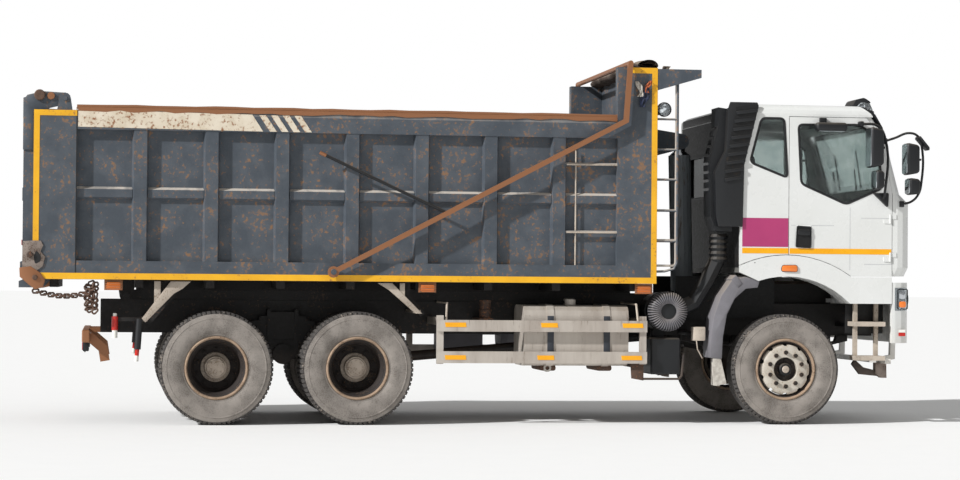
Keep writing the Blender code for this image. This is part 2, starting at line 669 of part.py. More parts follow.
MUDGUARD = {"inner": 0.640, "thickness": 0.105}


def front_mudguard(side, material, parent):
    """Band behind the front tyre with its hanging flap and bracket to the rail."""
    x, z = WHEELBASE, TYRE_RADIUS
    inner = arc((x, z), MUDGUARD["inner"] + 0.015, 126, 192, 8)
    outer = arc((x, z), MUDGUARD["inner"] + 0.015 + MUDGUARD["thickness"], 192, 126, 8)
    reach = (0.925, 1.225)
    shapes = [prism(inner + outer, "XZ", reach)]
    shapes.append(box((3.550, 3.590), (RAIL_OUTER_Y + SEAT, 0.940), (0.90, 0.94)))
    shapes.append(box((3.560, 3.585), (0.94, 1.215), (0.380, 0.470)))
    make(side_name("front_mudguard", side), shapes, material, parent, side=side)


FENDER_INNER_Y = 1.195


def fender(side, material, parent):
    """Flared arch over the front wheel that runs down into the panel behind the bumper."""
    x, z = WHEELBASE, TYRE_RADIUS
    start = math.degrees(math.acos((CAB_REAR - x) / FLARE_RADIUS))
    corner_z = CAB_BOTTOM - RUNNING * 2
    stop = math.degrees(math.asin((corner_z - z) / FLARE_RADIUS))
    foot = math.degrees(math.asin((1.200 - z) / ARCH_RADIUS))
    outline = arc((x, z), FLARE_RADIUS, start, stop, 10)
    outline += [(DOOR_FRONT, corner_z), (DOOR_FRONT, 1.200)]
    outline += arc((x, z), ARCH_RADIUS, foot, 108.3, 10)
    outline += [(CAB_REAR, 1.500)]
    shapes = [prism(outline, "XZ", (FENDER_INNER_Y, BED_HALF_WIDTH))]
    liner = arc((x, z), ARCH_RADIUS, 108.3, foot, 10) + arc((x, z), ARCH_RADIUS + 0.022, foot, 108.3, 10)
    shapes.append(prism(liner, "XZ", (0.940, FENDER_INNER_Y + 0.01)))
    shapes.append(box((4.900, 4.960), (RAIL_OUTER_Y + SEAT, 0.960), (1.205, 1.245)))
    shapes.append(box((3.955, 3.990), (0.470, 0.960), (1.385, 1.430)))
    shapes.append(box((3.955, 3.990), (RAIL_OUTER_Y + SEAT, 0.480), (1.050, 1.430)))
    make(side_name("fender", side), shapes, material, parent, side=side)


STEP_X = (4.955, 5.270)


def steps(side, material, parent):
    """Two treads on posts below the fender's panel."""
    x0, x1 = STEP_X
    shapes = [box((x0, x1), (0.99, 1.23), (0.975, 1.020)),
              box((x0 + 0.02, x1), (0.99, 1.22), (0.635, 0.680)),
              box((x0 + 0.04, x0 + 0.08), (1.02, 1.06), (0.65, 1.2 - SEAT)),
              box((x1 - 0.06, x1 - 0.02), (1.02, 1.06), (0.65, 1.2 - SEAT)),
              box((x1 - 0.07, x1 - 0.01), (RAIL_OUTER_Y + SEAT, 1.03), (0.980, 1.015))]
    make(side_name("steps", side), shapes, material, parent, side=side)


BUMPER = {"z": (0.810, 1.412), "front": 5.535, "half_width": 1.245, "corner": 0.170}
LAMP = {"z": (1.133, 1.361), "y": (0.800, 1.150), "depth": 0.030, "back": 5.360}


def plan_u(front, back, half, corner, wall, steps_in_corner=4):
    """Plan outline of a wall that wraps round both front corners."""
    outer = arc((front - corner, -half + corner), corner, -90, 0, steps_in_corner)
    outer += arc((front - corner, half - corner), corner, 0, 90, steps_in_corner)
    inner_corner = max(corner - wall, 0.01)
    inner = arc((front - corner, half - corner), inner_corner, 90, 0, steps_in_corner)
    inner += arc((front - corner, -half + corner), inner_corner, 0, -90, steps_in_corner)
    return [(back, -half)] + outer + [(back, half), (back, half - wall)] + inner + [(back, -half + wall)]


def bumper(material, parent):
    """Wrap-round bumper with recesses for the lamps, a centre grille slot and its arms."""
    z0, z1 = BUMPER["z"]
    shapes = [prism(plan_u(BUMPER["front"], DOOR_FRONT + RUNNING, BUMPER["half_width"], BUMPER["corner"], 0.070),
                    "XY", (z0, z1))]
    for s in (-1, 1):
        shapes.append(box((FRAME_FRONT + SEAT, BUMPER["front"] - 0.05), sorted((s * 0.33, s * 0.42)), (0.90, 1.15)))
        shapes.append(prism(strip([(BUMPER["front"] - 0.06, 0.86), (5.47, 0.66), (5.30, 0.625)], 0.05), "XZ",
                            sorted((s * 0.80, s * 0.86))))
    shapes.append(box((5.29, 5.35), (-1.16, 1.16), (0.600, 0.650)))
    cuts = [box((BUMPER["front"] - 0.02, BUMPER["front"] + 0.1), (-0.60, 0.60), (1.18 + i * 0.07, 1.22 + i * 0.07))
            for i in range(3)]
    recess = prism(plan_u(BUMPER["front"] + 0.1, LAMP["back"], BUMPER["half_width"] + 0.1, BUMPER["corner"] + 0.1,
                          0.1 + LAMP["depth"]), "XY", LAMP["z"])
    middle = box((BUMPER["front"] - 0.2, BUMPER["front"] + 0.2), (-LAMP["y"][0], LAMP["y"][0]),
                 (LAMP["z"][0] - 0.01, LAMP["z"][1] + 0.01))
    combine(recess, middle, "DIFFERENCE")
    make("bumper", shapes, material, parent, cuts=cuts + [recess])


def headlamp(side, material, parent):
    """Lens body that fills the bumper's corner recess."""
    gap = SEAT
    ring = plan_u(BUMPER["front"] - gap, LAMP["back"] + gap, BUMPER["half_width"] - gap, BUMPER["corner"],
                  LAMP["depth"] - 2 * gap)
    shell = prism(ring, "XY", (LAMP["z"][0] + gap, LAMP["z"][1] - gap))
    keep = box((5.2, 5.7), (LAMP["y"][0] + gap, 1.3), (LAMP["z"][0] - 0.01, LAMP["z"][1] + 0.01))
    make(side_name("headlamp", side), [shell], material, parent, within=keep, side=side)


def rear_bumper(material, parent):
    """Cross bar behind the frame with the arms that hold it and the posts of the mud flaps."""
    shapes = [box((-2.620, -2.545), (-1.10, 1.10), (0.780, 0.900), 0.01)]
    for s in (-1, 1):
        shapes.append(box((-2.56, FRAME_REAR - SEAT), sorted((s * 0.345, s * 0.425)), (0.865, 0.905)))
        shapes.append(prism(strip([(-2.56, 0.84), (-2.42, 0.72), (-2.40, 0.60)], 0.09), "XZ",
                            sorted((s * 0.90, s * 0.93))))
    make("rear_bumper", shapes, material, parent)


# Hoist


def hoist_direction():
    """Unit vector from the hoist's foot to its eye at rest, and their distance."""
    run = Vector((HOIST_EYE_X - HOIST_PIN_X, 0, HOIST_EYE_Z - HOIST_PIN_Z))
    return run.normalized(), run.length


def lean(shape):
    """Turn a shape, drawn upright over the hoist's foot, along the hoist's line."""
    run, _ = hoist_direction()
    turn = Vector((0, 0, 1)).rotation_difference(run).to_matrix().to_4x4()
    place = Matrix.Translation(Vector((HOIST_PIN_X, 0, HOIST_PIN_Z)))
    shape.data.transform(place @ turn)
    return shape


HOIST_RADII = (0.116, 0.102, 0.088, 0.074, 0.060)  # barrel, three stages, rod


def hoist(parts, material):
    """Barrel, three stages and the rod, each a cup in the one before."""
    _, length = hoist_direction()
    foot = 0.06
    for i, (name, parent) in enumerate(parts):
        radius = HOIST_RADII[i]
        low = foot + i * 0.012
        top = foot + HOIST_TUBE_LENGTH + i * 0.012
        if i < len(parts) - 1:
            bore = HOIST_RADII[i + 1] + 0.0012
            profile = [(0, low), (radius, low), (radius, top), (bore, top), (bore, low + 0.0115), (0, low + 0.0115)]
            shapes = [lean(turned(profile, (0, 0, 0), "Z", 16))]
        else:
            profile = [(0, low), (radius, low), (radius, length - 0.03), (0, length - 0.03)]
            shapes = [lean(turned(profile, (0, 0, 0), "Z", 16)),
                      rod((HOIST_EYE_X, -0.075, HOIST_EYE_Z), (HOIST_EYE_X, 0.075, HOIST_EYE_Z), 0.062, 16)]
        if i == 0:
            shapes.append(rod((HOIST_PIN_X, -0.145 + SEAT, HOIST_PIN_Z), (HOIST_PIN_X, 0.145 - SEAT, HOIST_PIN_Z),
                              0.062, 16))
            shapes.append(lean(box((-0.06, 0.06), (-0.09, 0.09), (0.0, foot + 0.01))))
        make(name, shapes, material, parent)


# Bed


def rib_starts():
    """Rear edge of each rib."""
    return [RIB_FIRST_X + i * RIB_PITCH for i in range(RIB_COUNT)]


def bays():
    """Start and end of each field between two uprights."""
    starts = [BED_REAR + REAR_POST_LENGTH] + [x + RIB_WIDTH for x in rib_starts()]
    ends = rib_starts() + [BED_FRONT - FRONT_POST_LENGTH]
    return list(zip(starts, ends))


def bed_side(side, material, parent):
    """Side wall: skin, sill, round-topped rail, posts, hat ribs, stiffeners, rungs and tailgate ears."""
    w = BED_HALF_WIDTH
    skin = (SIDE_INNER_Y, SKIN_OUTER_Y)
    shapes = [box((BED_REAR + 0.01, BED_FRONT - 0.01), skin, (BED_BOTTOM + 0.01, RAIL_UNDER + 0.05)),
              box((BED_REAR, BED_FRONT), (SIDE_INNER_Y, w), (BED_BOTTOM, SILL_TOP)),
              box((BED_REAR, BED_REAR + REAR_POST_LENGTH), (SIDE_INNER_Y, w), (BED_BOTTOM + 0.01, REAR_POST_TOP)),
              box((BED_FRONT - FRONT_POST_LENGTH, BED_FRONT), (SIDE_INNER_Y, w), (BED_BOTTOM + 0.01, HEADBOARD_TOP))]
    cap = (w + SIDE_INNER_Y - 0.02) / 2
    radius = (w - SIDE_INNER_Y + 0.02) / 2
    rail = [(SIDE_INNER_Y - 0.02, RAIL_UNDER), (w, RAIL_UNDER)] + arc((cap, RAIL_CAP_TOP - radius), radius, 0, 180, 6)
    shapes.append(prism(rail, "YZ", (BED_REAR + REAR_POST_LENGTH - 0.01, BED_FRONT - FRONT_POST_LENGTH + 0.01)))
    for x in rib_starts():
        hat = [(x, SKIN_OUTER_Y - 0.01), (x + RIB_SLOPE, w - 0.006), (x + RIB_WIDTH - RIB_SLOPE, w - 0.006),
               (x + RIB_WIDTH, SKIN_OUTER_Y - 0.01)]
        shapes.append(prism(hat, "XY", (SILL_TOP - 0.01, RAIL_UNDER + 0.01)))
    bar = [(SKIN_OUTER_Y - 0.01, STIFFENER_BOTTOM), (w - 0.030, STIFFENER_BOTTOM + 0.03),
           (w - 0.030, STIFFENER_TOP - 0.03), (SKIN_OUTER_Y - 0.01, STIFFENER_TOP)]
    for x0, x1 in bays():
        shapes.append(prism(bar, "YZ", (x0 - 0.01, x1 + 0.01)))
    x0, x1 = bays()[-1]
    for z in (1.881, 2.543):
        shapes.append(rod((x0 - 0.03, w - 0.022, z), (x1 + 0.03, w - 0.022, z), 0.014, 8))
    shapes += tailgate_ears()
    shapes.append(rod((BOW_PIN_X, w - 0.02, BOW_PIN_Z), (BOW_PIN_X, BOW_OUTER_Y + 0.015, BOW_PIN_Z), 0.028, PIN_SIDES))
    jaw = [(BED_REAR + 0.14, 1.74), (BED_REAR + 0.14, 1.40), (BED_REAR + 0.05, 1.300), (HOOK_REAR, 1.300),
           (HOOK_REAR, 1.360), (-3.150, 1.385), (-3.130, 1.440), (-3.200, 1.47), (-3.200, 1.540), (BED_REAR, 1.600),
           (BED_REAR, 1.74)]
    shapes.append(prism(jaw, "XZ", (w - 0.045, w)))
    if side < 0:
        shapes += front_ladder()
    make(side_name("bed_side", side), shapes, material, parent, side=side)


EAR_LOW, EAR_HIGH = (1.1415, 1.160), (1.201, 1.222)
ARM_Y = (1.166, 1.195)


def tailgate_ears():
    """Ears on the rear post with the pin that the tailgate hangs on."""
    x, z = TAILGATE_PIN_X, TAILGATE_PIN_Z
    ear = arc((x, z), 0.055, 0, 180, 6) + [(x - 0.075, REAR_POST_TOP - 0.02), (x + 0.075, REAR_POST_TOP - 0.02)]
    return [prism(ear, "XZ", EAR_LOW), prism(ear, "XZ", EAR_HIGH),
            rod((x, EAR_LOW[0] + 0.002, z), (x, EAR_HIGH[1] + 0.014, z), TAILGATE_PIN_RADIUS, PIN_SIDES)]


def front_ladder():
    """Rail and rungs in front of the front post, below the canopy."""
    rail_x, y = 3.140, BED_HALF_WIDTH - 0.045
    run = [(BED_FRONT - 0.03, y, 1.500), (BED_FRONT + 0.09, y, 1.505), (rail_x - 0.03, y, 1.530),
           (rail_x, y, 1.590), (rail_x, y, 3.450 - RUNNING)]
    shapes = [pipe(run, 0.014)]
    for z in (1.800, 2.100, 2.405, 2.700, 3.000):
        shapes.append(rod((BED_FRONT - 0.03, y, z), (rail_x, y, z), 0.011, 8))
    return shapes


def bed_floor(material, parent):
    """Floor on cross bearers and long beams, with the hinge arms and the mudguard struts."""
    edge = SIDE_INNER_Y - SEAT
    under = SUBFRAME_TOP + SEAT
    beam = (RAIL_OUTER_Y - RAIL_FLANGE, RAIL_OUTER_Y - 0.010)
    shapes = [box((BED_REAR + 0.002, BED_FRONT - HEADBOARD_THICKNESS - 0.004), (-edge, edge),
                  (BED_BOTTOM, BED_BOTTOM + FLOOR_THICKNESS))]
    for s in (-1, 1):
        shapes.append(box((BED_PIN_X + 0.10, BED_FRONT - 0.08), sorted((s * beam[0], s * beam[1])),
                          (under, BED_BOTTOM + 0.01)))
    for x in [x + RIB_WIDTH / 2 for x in rib_starts()] + [BED_REAR + 0.20, BED_FRONT - 0.20]:
        shapes.append(box((x - 0.04, x + 0.04), (-edge + 0.02, edge - 0.02), (BED_BOTTOM - 0.075, BED_BOTTOM + 0.01)))
    cuts = []
    for s in (-1, 1):
        arm = [(BED_PIN_X - 0.09, BED_BOTTOM + 0.01)] + arc((BED_PIN_X, BED_PIN_Z), 0.065, 200, 340, 6)
        arm += [(BED_PIN_X + 0.09, BED_BOTTOM + 0.01)]
        shapes.append(prism(arm, "XZ", sorted((s * 0.450, s * 0.485))))
        cuts.append(rod((BED_PIN_X, s * 0.43, BED_PIN_Z), (BED_PIN_X, s * 0.50, BED_PIN_Z),
                        bore_radius(BED_PIN_RADIUS, PIN_SIDES), PIN_SIDES))
        for top_x, low_x, low_z in ((-1.640, -2.000, 0.975), (0.350, 0.640, 1.060)):
            brace = strip([(top_x, BED_BOTTOM + 0.02), (low_x, low_z)], 0.055)
            shapes.append(prism(brace, "XZ", sorted((s * 1.085, s * 1.120))))
            mid = (top_x + low_x) / 2
            shapes.append(box((mid - 0.02, mid + 0.02), sorted((s * 1.09, s * 1.115)),
                              ((BED_BOTTOM + low_z) / 2, BED_BOTTOM + 0.01)))
    make("bed_floor", shapes, material, parent, cuts=cuts)


def headboard(material, parent):
    """Front wall with its stiffeners, the canopy on gussets and the hoist's bracket."""
    edge = SIDE_INNER_Y - SEAT
    back = BED_FRONT - HEADBOARD_THICKNESS
    shapes = [box((back, BED_FRONT), (-edge, edge), (BED_BOTTOM + FLOOR_THICKNESS + SEAT, HEADBOARD_TOP))]
    for y in (-0.85, -0.45, 0.45, 0.85):
        hat = [(BED_FRONT - 0.01, y - 0.07), (BED_FRONT + 0.05, y - 0.05), (BED_FRONT + 0.05, y + 0.05),
               (BED_FRONT - 0.01, y + 0.07)]
        shapes.append(prism(hat, "XY", (1.60, 3.46)))
    front = BED_FRONT + CANOPY_LENGTH
    shapes.append(box((BED_FRONT - 0.02, front), (-edge, edge), (3.450, 3.490)))
    shapes.append(box((BED_FRONT + SEAT, front), (-BED_HALF_WIDTH, BED_HALF_WIDTH), (3.450, 3.490)))
    for s in (-1, 1):
        gusset = [(BED_FRONT + SEAT, 3.470), (BED_FRONT + SEAT, 3.280), (front, 3.410), (front, 3.470)]
        y = BED_HALF_WIDTH - 0.012
        shapes.append(prism(gusset, "XZ", sorted((s * (y - 0.010), s * (y + 0.012)))))
        ear = [(BED_FRONT - 0.01, HOIST_EYE_Z - 0.22), (BED_FRONT - 0.01, HOIST_EYE_Z + 0.16)]
        ear += [(HOIST_EYE_X, HOIST_EYE_Z + 0.08)] + arc((HOIST_EYE_X, HOIST_EYE_Z), 0.08, 60, -90, 6)
        shapes.append(prism(ear, "XZ", sorted((s * (0.075 + SEAT), s * 0.105))))
    shapes.append(box((BED_FRONT - 0.01, BED_FRONT + 0.03), (-0.20, 0.20), (1.60, 3.46)))
    make("bed_headboard", shapes, material, parent)


def tarp_bow(material, parent):
    """Arms outside both walls, joined by the tube that carries the tarp over the headboard."""
    z0 = BOW_PIN_Z
    line = [(BOW_PIN_X, z0), (2.600, 2.970), (2.640, 3.540)]
    y = (BOW_INNER_Y, BOW_OUTER_Y)
    shapes, cuts = [], []
    for s in (-1, 1):
        span = sorted((s * y[0], s * y[1]))
        shapes.append(prism(strip(line, 0.048), "XZ", span))
        shapes.append(prism(arc((BOW_PIN_X, z0), 0.055, 0, 337.5, 15), "XZ", span))
        shapes.append(rod((-0.383, s * 1.305, 2.608), (0.850, s * 1.305, 2.045), 0.013, 8))
        cuts.append(rod((BOW_PIN_X, s * 1.25, z0), (BOW_PIN_X, s * 1.36, z0), bore_radius(0.028, PIN_SIDES), PIN_SIDES))
    shapes.append(rod((2.640, -y[1], 3.535), (2.640, y[1], 3.535), 0.025, 12))
    make("tarp_bow", shapes, material, parent, cuts=cuts)


def tailgate(material, parent):
    """Framed plate behind the posts, hung on arms that reach over them."""
    front = BED_REAR - SEAT
    rear = front - TAILGATE_THICKNESS
    w = TAILGATE_HALF_WIDTH
    z0, z1 = 1.400, 3.000
    skin_rear = front - 0.045
    shapes = [box((skin_rear, front), (-w, w), (z0, z1))]
    for low, high in ((z0, z0 + 0.12), (2.12, 2.24), (z1 - 0.11, z1)):
        shapes.append(box((rear, skin_rear + 0.01), (-w, w), (low, high)))
    for y in (-w + 0.06, -w / 3, w / 3, w - 0.06):
        shapes.append(box((rear + 0.006, skin_rear + 0.01), (y - 0.06, y + 0.06), (z0 + 0.01, z1 - 0.01)))
    cuts = []
    for s in (-1, 1):
        arm = [(rear, 2.92), (front, 2.92), (front, REAR_POST_TOP + 0.020)]
        arm += [(TAILGATE_PIN_X, TAILGATE_PIN_Z - 0.060)] + arc((TAILGATE_PIN_X, TAILGATE_PIN_Z), 0.055, -60, 90, 5)
        arm += [(-3.000, 3.155), (rear, 3.090)]
        shapes.append(prism(arm, "XZ", sorted((s * ARM_Y[0], s * ARM_Y[1]))))
        cuts.append(rod((TAILGATE_PIN_X, s * 1.15, TAILGATE_PIN_Z), (TAILGATE_PIN_X, s * 1.21, TAILGATE_PIN_Z),
                        bore_radius(TAILGATE_PIN_RADIUS, PIN_SIDES), PIN_SIDES))
    make("tailgate", shapes, material, parent, cuts=cuts)


# Cab


def cab_profile():
    """Side view of the cab's outside, from the rear foot round the front to the roof."""
    return [(CAB_REAR, CAB_BOTTOM), (5.500, CAB_BOTTOM), (CAB_FRONT, 1.560), (CAB_FRONT, 2.200), (5.420, 2.280),
            (5.260, 2.860), (5.130, CAB_HEADER), (5.105, 3.090), (5.000, CAB_ROOF), (CAB_REAR + 0.05, CAB_ROOF),
            (CAB_REAR, CAB_ROOF - 0.04)]


DOOR_OUTLINE = ((DOOR_REAR, DOOR_TOP), (DOOR_REAR, DOOR_BOTTOM), (DOOR_FRONT, DOOR_BOTTOM), (DOOR_FRONT, 2.310),
                (5.210, 2.860), (5.060, DOOR_TOP))
DOOR_WINDOW = ((4.980, 2.975), (5.165, 2.861), (5.225, 2.355), (4.854, 2.189), (4.394, 2.386), (4.363, 2.967))
QUARTER_WINDOW = ((3.985, 3.045 - 0.02), (4.212, 3.025), (4.248, 2.445), (3.872, 2.590))


def arch_cutter(radius, y):
    """Cylinder across one side about the front hub."""
    hub = (WHEELBASE, y[0], TYRE_RADIUS)
    return rod(hub, (WHEELBASE, y[1], TYRE_RADIUS), radius, 64)


def cab_side(side, material, parent):
    """Quarter panel with its window, and the header over the door."""
    y = (CAB_HALF_WIDTH - CAB_WALL, CAB_HALF_WIDTH)
    quarter = box((CAB_REAR, DOOR_REAR - RUNNING), y, (CAB_BOTTOM, CAB_HEADER - SEAT))
    header = box((DOOR_REAR - 0.05, 5.050), y, (DOOR_TOP + RUNNING - 0.0005, CAB_HEADER - SEAT))
    jamb = box((DOOR_REAR - 0.03, DOOR_REAR + 0.03), (y[0] - 0.06, y[0] - RUNNING), (1.70, CAB_HEADER - SEAT))
    web = box((DOOR_REAR - 0.03, DOOR_REAR - 0.012), (y[0] - 0.03, y[0] + 0.01), (1.70, CAB_HEADER - SEAT))
    cuts = [prism(QUARTER_WINDOW, "XZ", (1.0, 1.4)), arch_cutter(FLARE_RADIUS + RUNNING, (1.0, 1.4))]
    make(side_name("cab_side", side), [quarter, header, jamb, web], material, parent, cuts=cuts, side=side)


def cab_rear(material, parent):
    """Rear wall with its window."""
    inner = CAB_HALF_WIDTH - CAB_WALL - SEAT
    wall = box((CAB_REAR, CAB_REAR + 0.040), (-inner, inner), (CAB_BOTTOM + 0.075, CAB_HEADER - SEAT))
    cuts = [box((3.7, 3.9), (-0.80, 0.80), (2.28, 2.72), 0.03)]
    make("cab_rear", [wall], material, parent, cuts=cuts)


def cab_roof(material, parent):
    """Roof pan with rounded sides on the panels' upper edges."""
    w, r, t = CAB_HALF_WIDTH, 0.090, 0.050
    outer = [(w, CAB_HEADER)] + arc((w - r, CAB_ROOF - r), r, 0, 90, 4) + arc((-w + r, CAB_ROOF - r), r, 90, 180, 4)
    outer += [(-w, CAB_HEADER)]
    inner = [(-w + t, CAB_HEADER), (-w + r, CAB_ROOF - t), (w - r, CAB_ROOF - t), (w - t, CAB_HEADER)]
    pan = prism(outer + inner, "YZ", (CAB_REAR, 5.125))
    nose = box((5.04, 5.125), (-w + 0.02, w - 0.02), (CAB_HEADER, 3.15))
    back = box((CAB_REAR, CAB_REAR + 0.04), (-w + 0.02, w - 0.02), (CAB_HEADER, 3.15))
    shape = [(CAB_REAR, CAB_HEADER - 0.1), (5.190, CAB_HEADER - 0.1), (5.130, CAB_HEADER), (5.105, 3.090),
             (5.000, CAB_ROOF + 0.0005), (CAB_REAR + 0.05, CAB_ROOF + 0.0005), (CAB_REAR, CAB_ROOF - 0.04)]
    make("cab_roof", [pan, nose, back], material, parent, within=prism(shape, "XZ", (-1.5, 1.5)))


FRONT_SECTIONS = (  # height, front, back, half width
    (CAB_BOTTOM, 5.500, DOOR_FRONT + RUNNING, 1.225),
    (1.560, CAB_FRONT, DOOR_FRONT + RUNNING, CAB_HALF_WIDTH),
    (2.200, CAB_FRONT, DOOR_FRONT + RUNNING, CAB_HALF_WIDTH),
    (2.290, 5.425, DOOR_FRONT + RUNNING, CAB_HALF_WIDTH),
    (2.860, 5.262, 5.2175, CAB_HALF_WIDTH - 0.010),
    (CAB_HEADER - SEAT, 5.132, 5.062, CAB_HALF_WIDTH - 0.020),
)


HINGE_X = DOOR_FRONT - 0.020
HINGE_Y = CAB_HALF_WIDTH + 0.010
HINGE_HEIGHTS = (1.620, 2.000)
HINGE_KNUCKLE = {"radius": 0.011, "length": 0.045, "strap": 0.0065, "reach": 0.064}


def hinge_half(side, height, way):
    """Knuckle and strap of a door hinge: way 1 reaches forwards to the pillar, -1 backwards to the door."""
    k = HINGE_KNUCKLE
    z = (height, height + k["length"]) if way < 0 else (height + k["length"] + SEAT, height + 2 * k["length"])
    skin = CAB_HALF_WIDTH + 2 * SEAT
    far = HINGE_X + way * k["reach"]
    strap_x = sorted((HINGE_X, far))
    root_x = sorted((far, far - way * 0.030))
    spans = [sorted((side * a, side * b)) for a, b in ((skin, skin + k["strap"]), (skin - 0.012, skin + k["strap"]))]
    barrel = rod((HINGE_X, side * HINGE_Y, z[0]), (HINGE_X, side * HINGE_Y, z[1]), k["radius"] * 0.85, 12)
    return [barrel, box(strap_x, spans[0], z), box(root_x, spans[1], z)]


def cab_front(material, parent):
    """Front panel, pillars and header round the windscreen, lofted through plan sections."""
    sections = []
    for z, front, back, half in FRONT_SECTIONS:
        corner = min(0.150, front - back - 0.002)
        wall = min(0.050, front - back - 0.004)
        sections.append([(x, y, z) for x, y in plan_u(front, back, half, corner, wall)])
    shell = loft(sections)
    slant = [(5.60, 2.36), (5.15, 2.36), (5.00, 2.985), (5.60, 2.985)]
    cuts = [prism(slant, "XZ", (-1.06, 1.06))]
    for i in range(4):
        cuts.append(box((CAB_FRONT - 0.02, 5.6), (-0.85, 0.85), (1.62 + i * 0.11, 1.67 + i * 0.11)))
    hinges = [half for side in (-1, 1) for height in HINGE_HEIGHTS for half in hinge_half(side, height, 1)]
    make("cab_front", [shell] + hinges, material, parent, cuts=cuts)


def windscreen(material, parent):
    """Pane in the front frame's opening."""
    lean_x = (5.262 - 5.425) / (2.860 - 2.290)
    low, high = 2.36 + RUNNING, 2.985 - RUNNING

    def front_at(z):
        return 5.425 + (z - 2.290) * lean_x - 0.012

    pane = [(front_at(low), low), (front_at(high), high), (front_at(high) - 0.008, high), (front_at(low) - 0.008, low)]
    make("windscreen", [prism(pane, "XZ", (-1.06 + SEAT, 1.06 - SEAT))], material, parent)


def cab_floor(material, parent):
    """Floor pan with the two arms that carry the cab on its front pivot."""
    inner = CAB_HALF_WIDTH - CAB_WALL - RUNNING
    level = (CAB_FLOOR_TOP - 0.050, CAB_FLOOR_TOP - SEAT)
    shapes = [box((CAB_REAR + 0.002, DOOR_FRONT), (-inner, inner), level),
              box((DOOR_FRONT - 0.05, 5.440), (-1.05, 1.05), level)]
    cuts = []
    for s in (-1, 1):
        span = sorted((s * CAB_ARM_Y, s * (CAB_ARM_Y + CAB_ARM_WIDTH)))
        shapes.append(prism(strip([(4.780, CAB_FLOOR_TOP - 0.03), (CAB_PIVOT_X, CAB_PIVOT_Z)], 0.070), "XZ", span))
        shapes.append(prism(arc((CAB_PIVOT_X, CAB_PIVOT_Z), 0.052, 0, 337.5, 15), "XZ", span))
        cuts.append(rod((CAB_PIVOT_X, s * 0.44, CAB_PIVOT_Z), (CAB_PIVOT_X, s * 0.54, CAB_PIVOT_Z),
                        bore_radius(CAB_PIVOT_RADIUS, PIN_SIDES), PIN_SIDES))
    make("cab_floor", shapes, material, parent, cuts=cuts)


def dashboard(material, parent):
    """Dashboard across the cab with the steering column and wheel on the left."""
    shape = [(5.330, CAB_FLOOR_TOP), (5.360, 2.180), (5.200, 2.260), (4.980, 2.180), (4.960, 2.020), (5.080, 1.900),
             (5.160, CAB_FLOOR_TOP)]
    shapes = [prism(shape, "XZ", (-1.13, 1.13))]
    wheel_centre = Vector((4.830, 0.560, 2.150))
    tilt = Matrix.Translation(wheel_centre) @ Matrix.Rotation(math.radians(-38), 4, "Y")
    rim = turned([(0.215 + 0.016 * math.cos(a), 0.016 * math.sin(a)) for a in
                  [math.radians(60 * i) for i in range(6)]], (0, 0, 0), "Z", 20)
    rim.data.transform(tilt)
    hub = turned([(0, -0.03), (0.05, -0.03), (0.05, 0.01), (0, 0.01)], (0, 0, 0), "Z", 12)
    hub.data.transform(tilt)
    spoke = box((-0.21, 0.21), (-0.018, 0.018), (-0.012, 0.006))
    spoke.data.transform(tilt)
    post = box((-0.018, 0.018), (-0.21, 0.21), (-0.012, 0.006))
    post.data.transform(tilt)
    shapes += [rim, hub, spoke, post, rod((4.835, 0.56, 2.13), (5.12, 0.56, 1.95), 0.030, 10)]
    make("dashboard", shapes, material, parent)


def seats(material, parent):
    """Two seats on one low platform."""
    z = CAB_FLOOR_TOP
    shapes = [box((3.95, 4.55), (-0.90, 0.90), (z, z + 0.10), 0.01)]
    for y in (-0.56, 0.56):
        shapes.append(box((4.05, 4.50), (y - 0.20, y + 0.20), (z + 0.09, z + 0.36)))
        shapes.append(box((4.02, 4.56), (y - 0.26, y + 0.26), (z + 0.35, z + 0.50), 0.03))
        back = prism(strip([(4.10, z + 0.45), (3.98, z + 1.12)], 0.12), "XZ", (y - 0.25, y + 0.25))
        head = prism(strip([(3.985, z + 1.11), (3.955, z + 1.30)], 0.09), "XZ", (y - 0.14, y + 0.14))
        shapes += [back, head]
    make("seats", shapes, material, parent)


def air_intake(material, parent):
    """Louvred box on the cab's right rear corner that ends over the bellows."""
    profile = [(3.540, 1.905), (3.700, 1.905), (3.740, 2.40), (3.765, 2.55), (3.770, 3.100), (3.560, 3.130),
               (3.560, 2.95), (3.480, 2.60), (3.490, 2.05)]
    shapes = [prism(profile, "XZ", (0.900, 1.180))]
    cuts = []
    for i in range(8):
        z = 2.32 + i * 0.085
        slot = [(3.40, z - 0.02), (3.60, z), (3.60, z + 0.028), (3.40, z + 0.008)]
        cuts.append(prism(slot, "XZ", (0.86, 0.90 + 0.20)))
    shapes.append(box((3.70, CAB_REAR - SEAT), (0.95, 1.12), (2.70, 3.00)))
    make("air_intake_right", shapes, material, parent, cuts=cuts, side=-1)


def sun_visor(material, parent):
    """Visor over the windscreen with the roof lamps at its ends."""
    blade = strip([(5.065, 3.150), (5.180, 3.080), (5.262, 2.950)], 0.022)
    shapes = [prism(blade, "XZ", (-1.12, 1.12))]
    for s in (-1, 1):
        lamp = [(4.960, CAB_ROOF + SEAT), (5.010, 3.235), (5.080, 3.262), (5.150, 3.210), (5.190, 3.110), (5.110, 3.130),
                (5.060, CAB_ROOF + SEAT)]
        shapes.append(prism(lamp, "XZ", sorted((s * 0.80, s * 1.10))))
    make("sun_visor", shapes, material, parent)


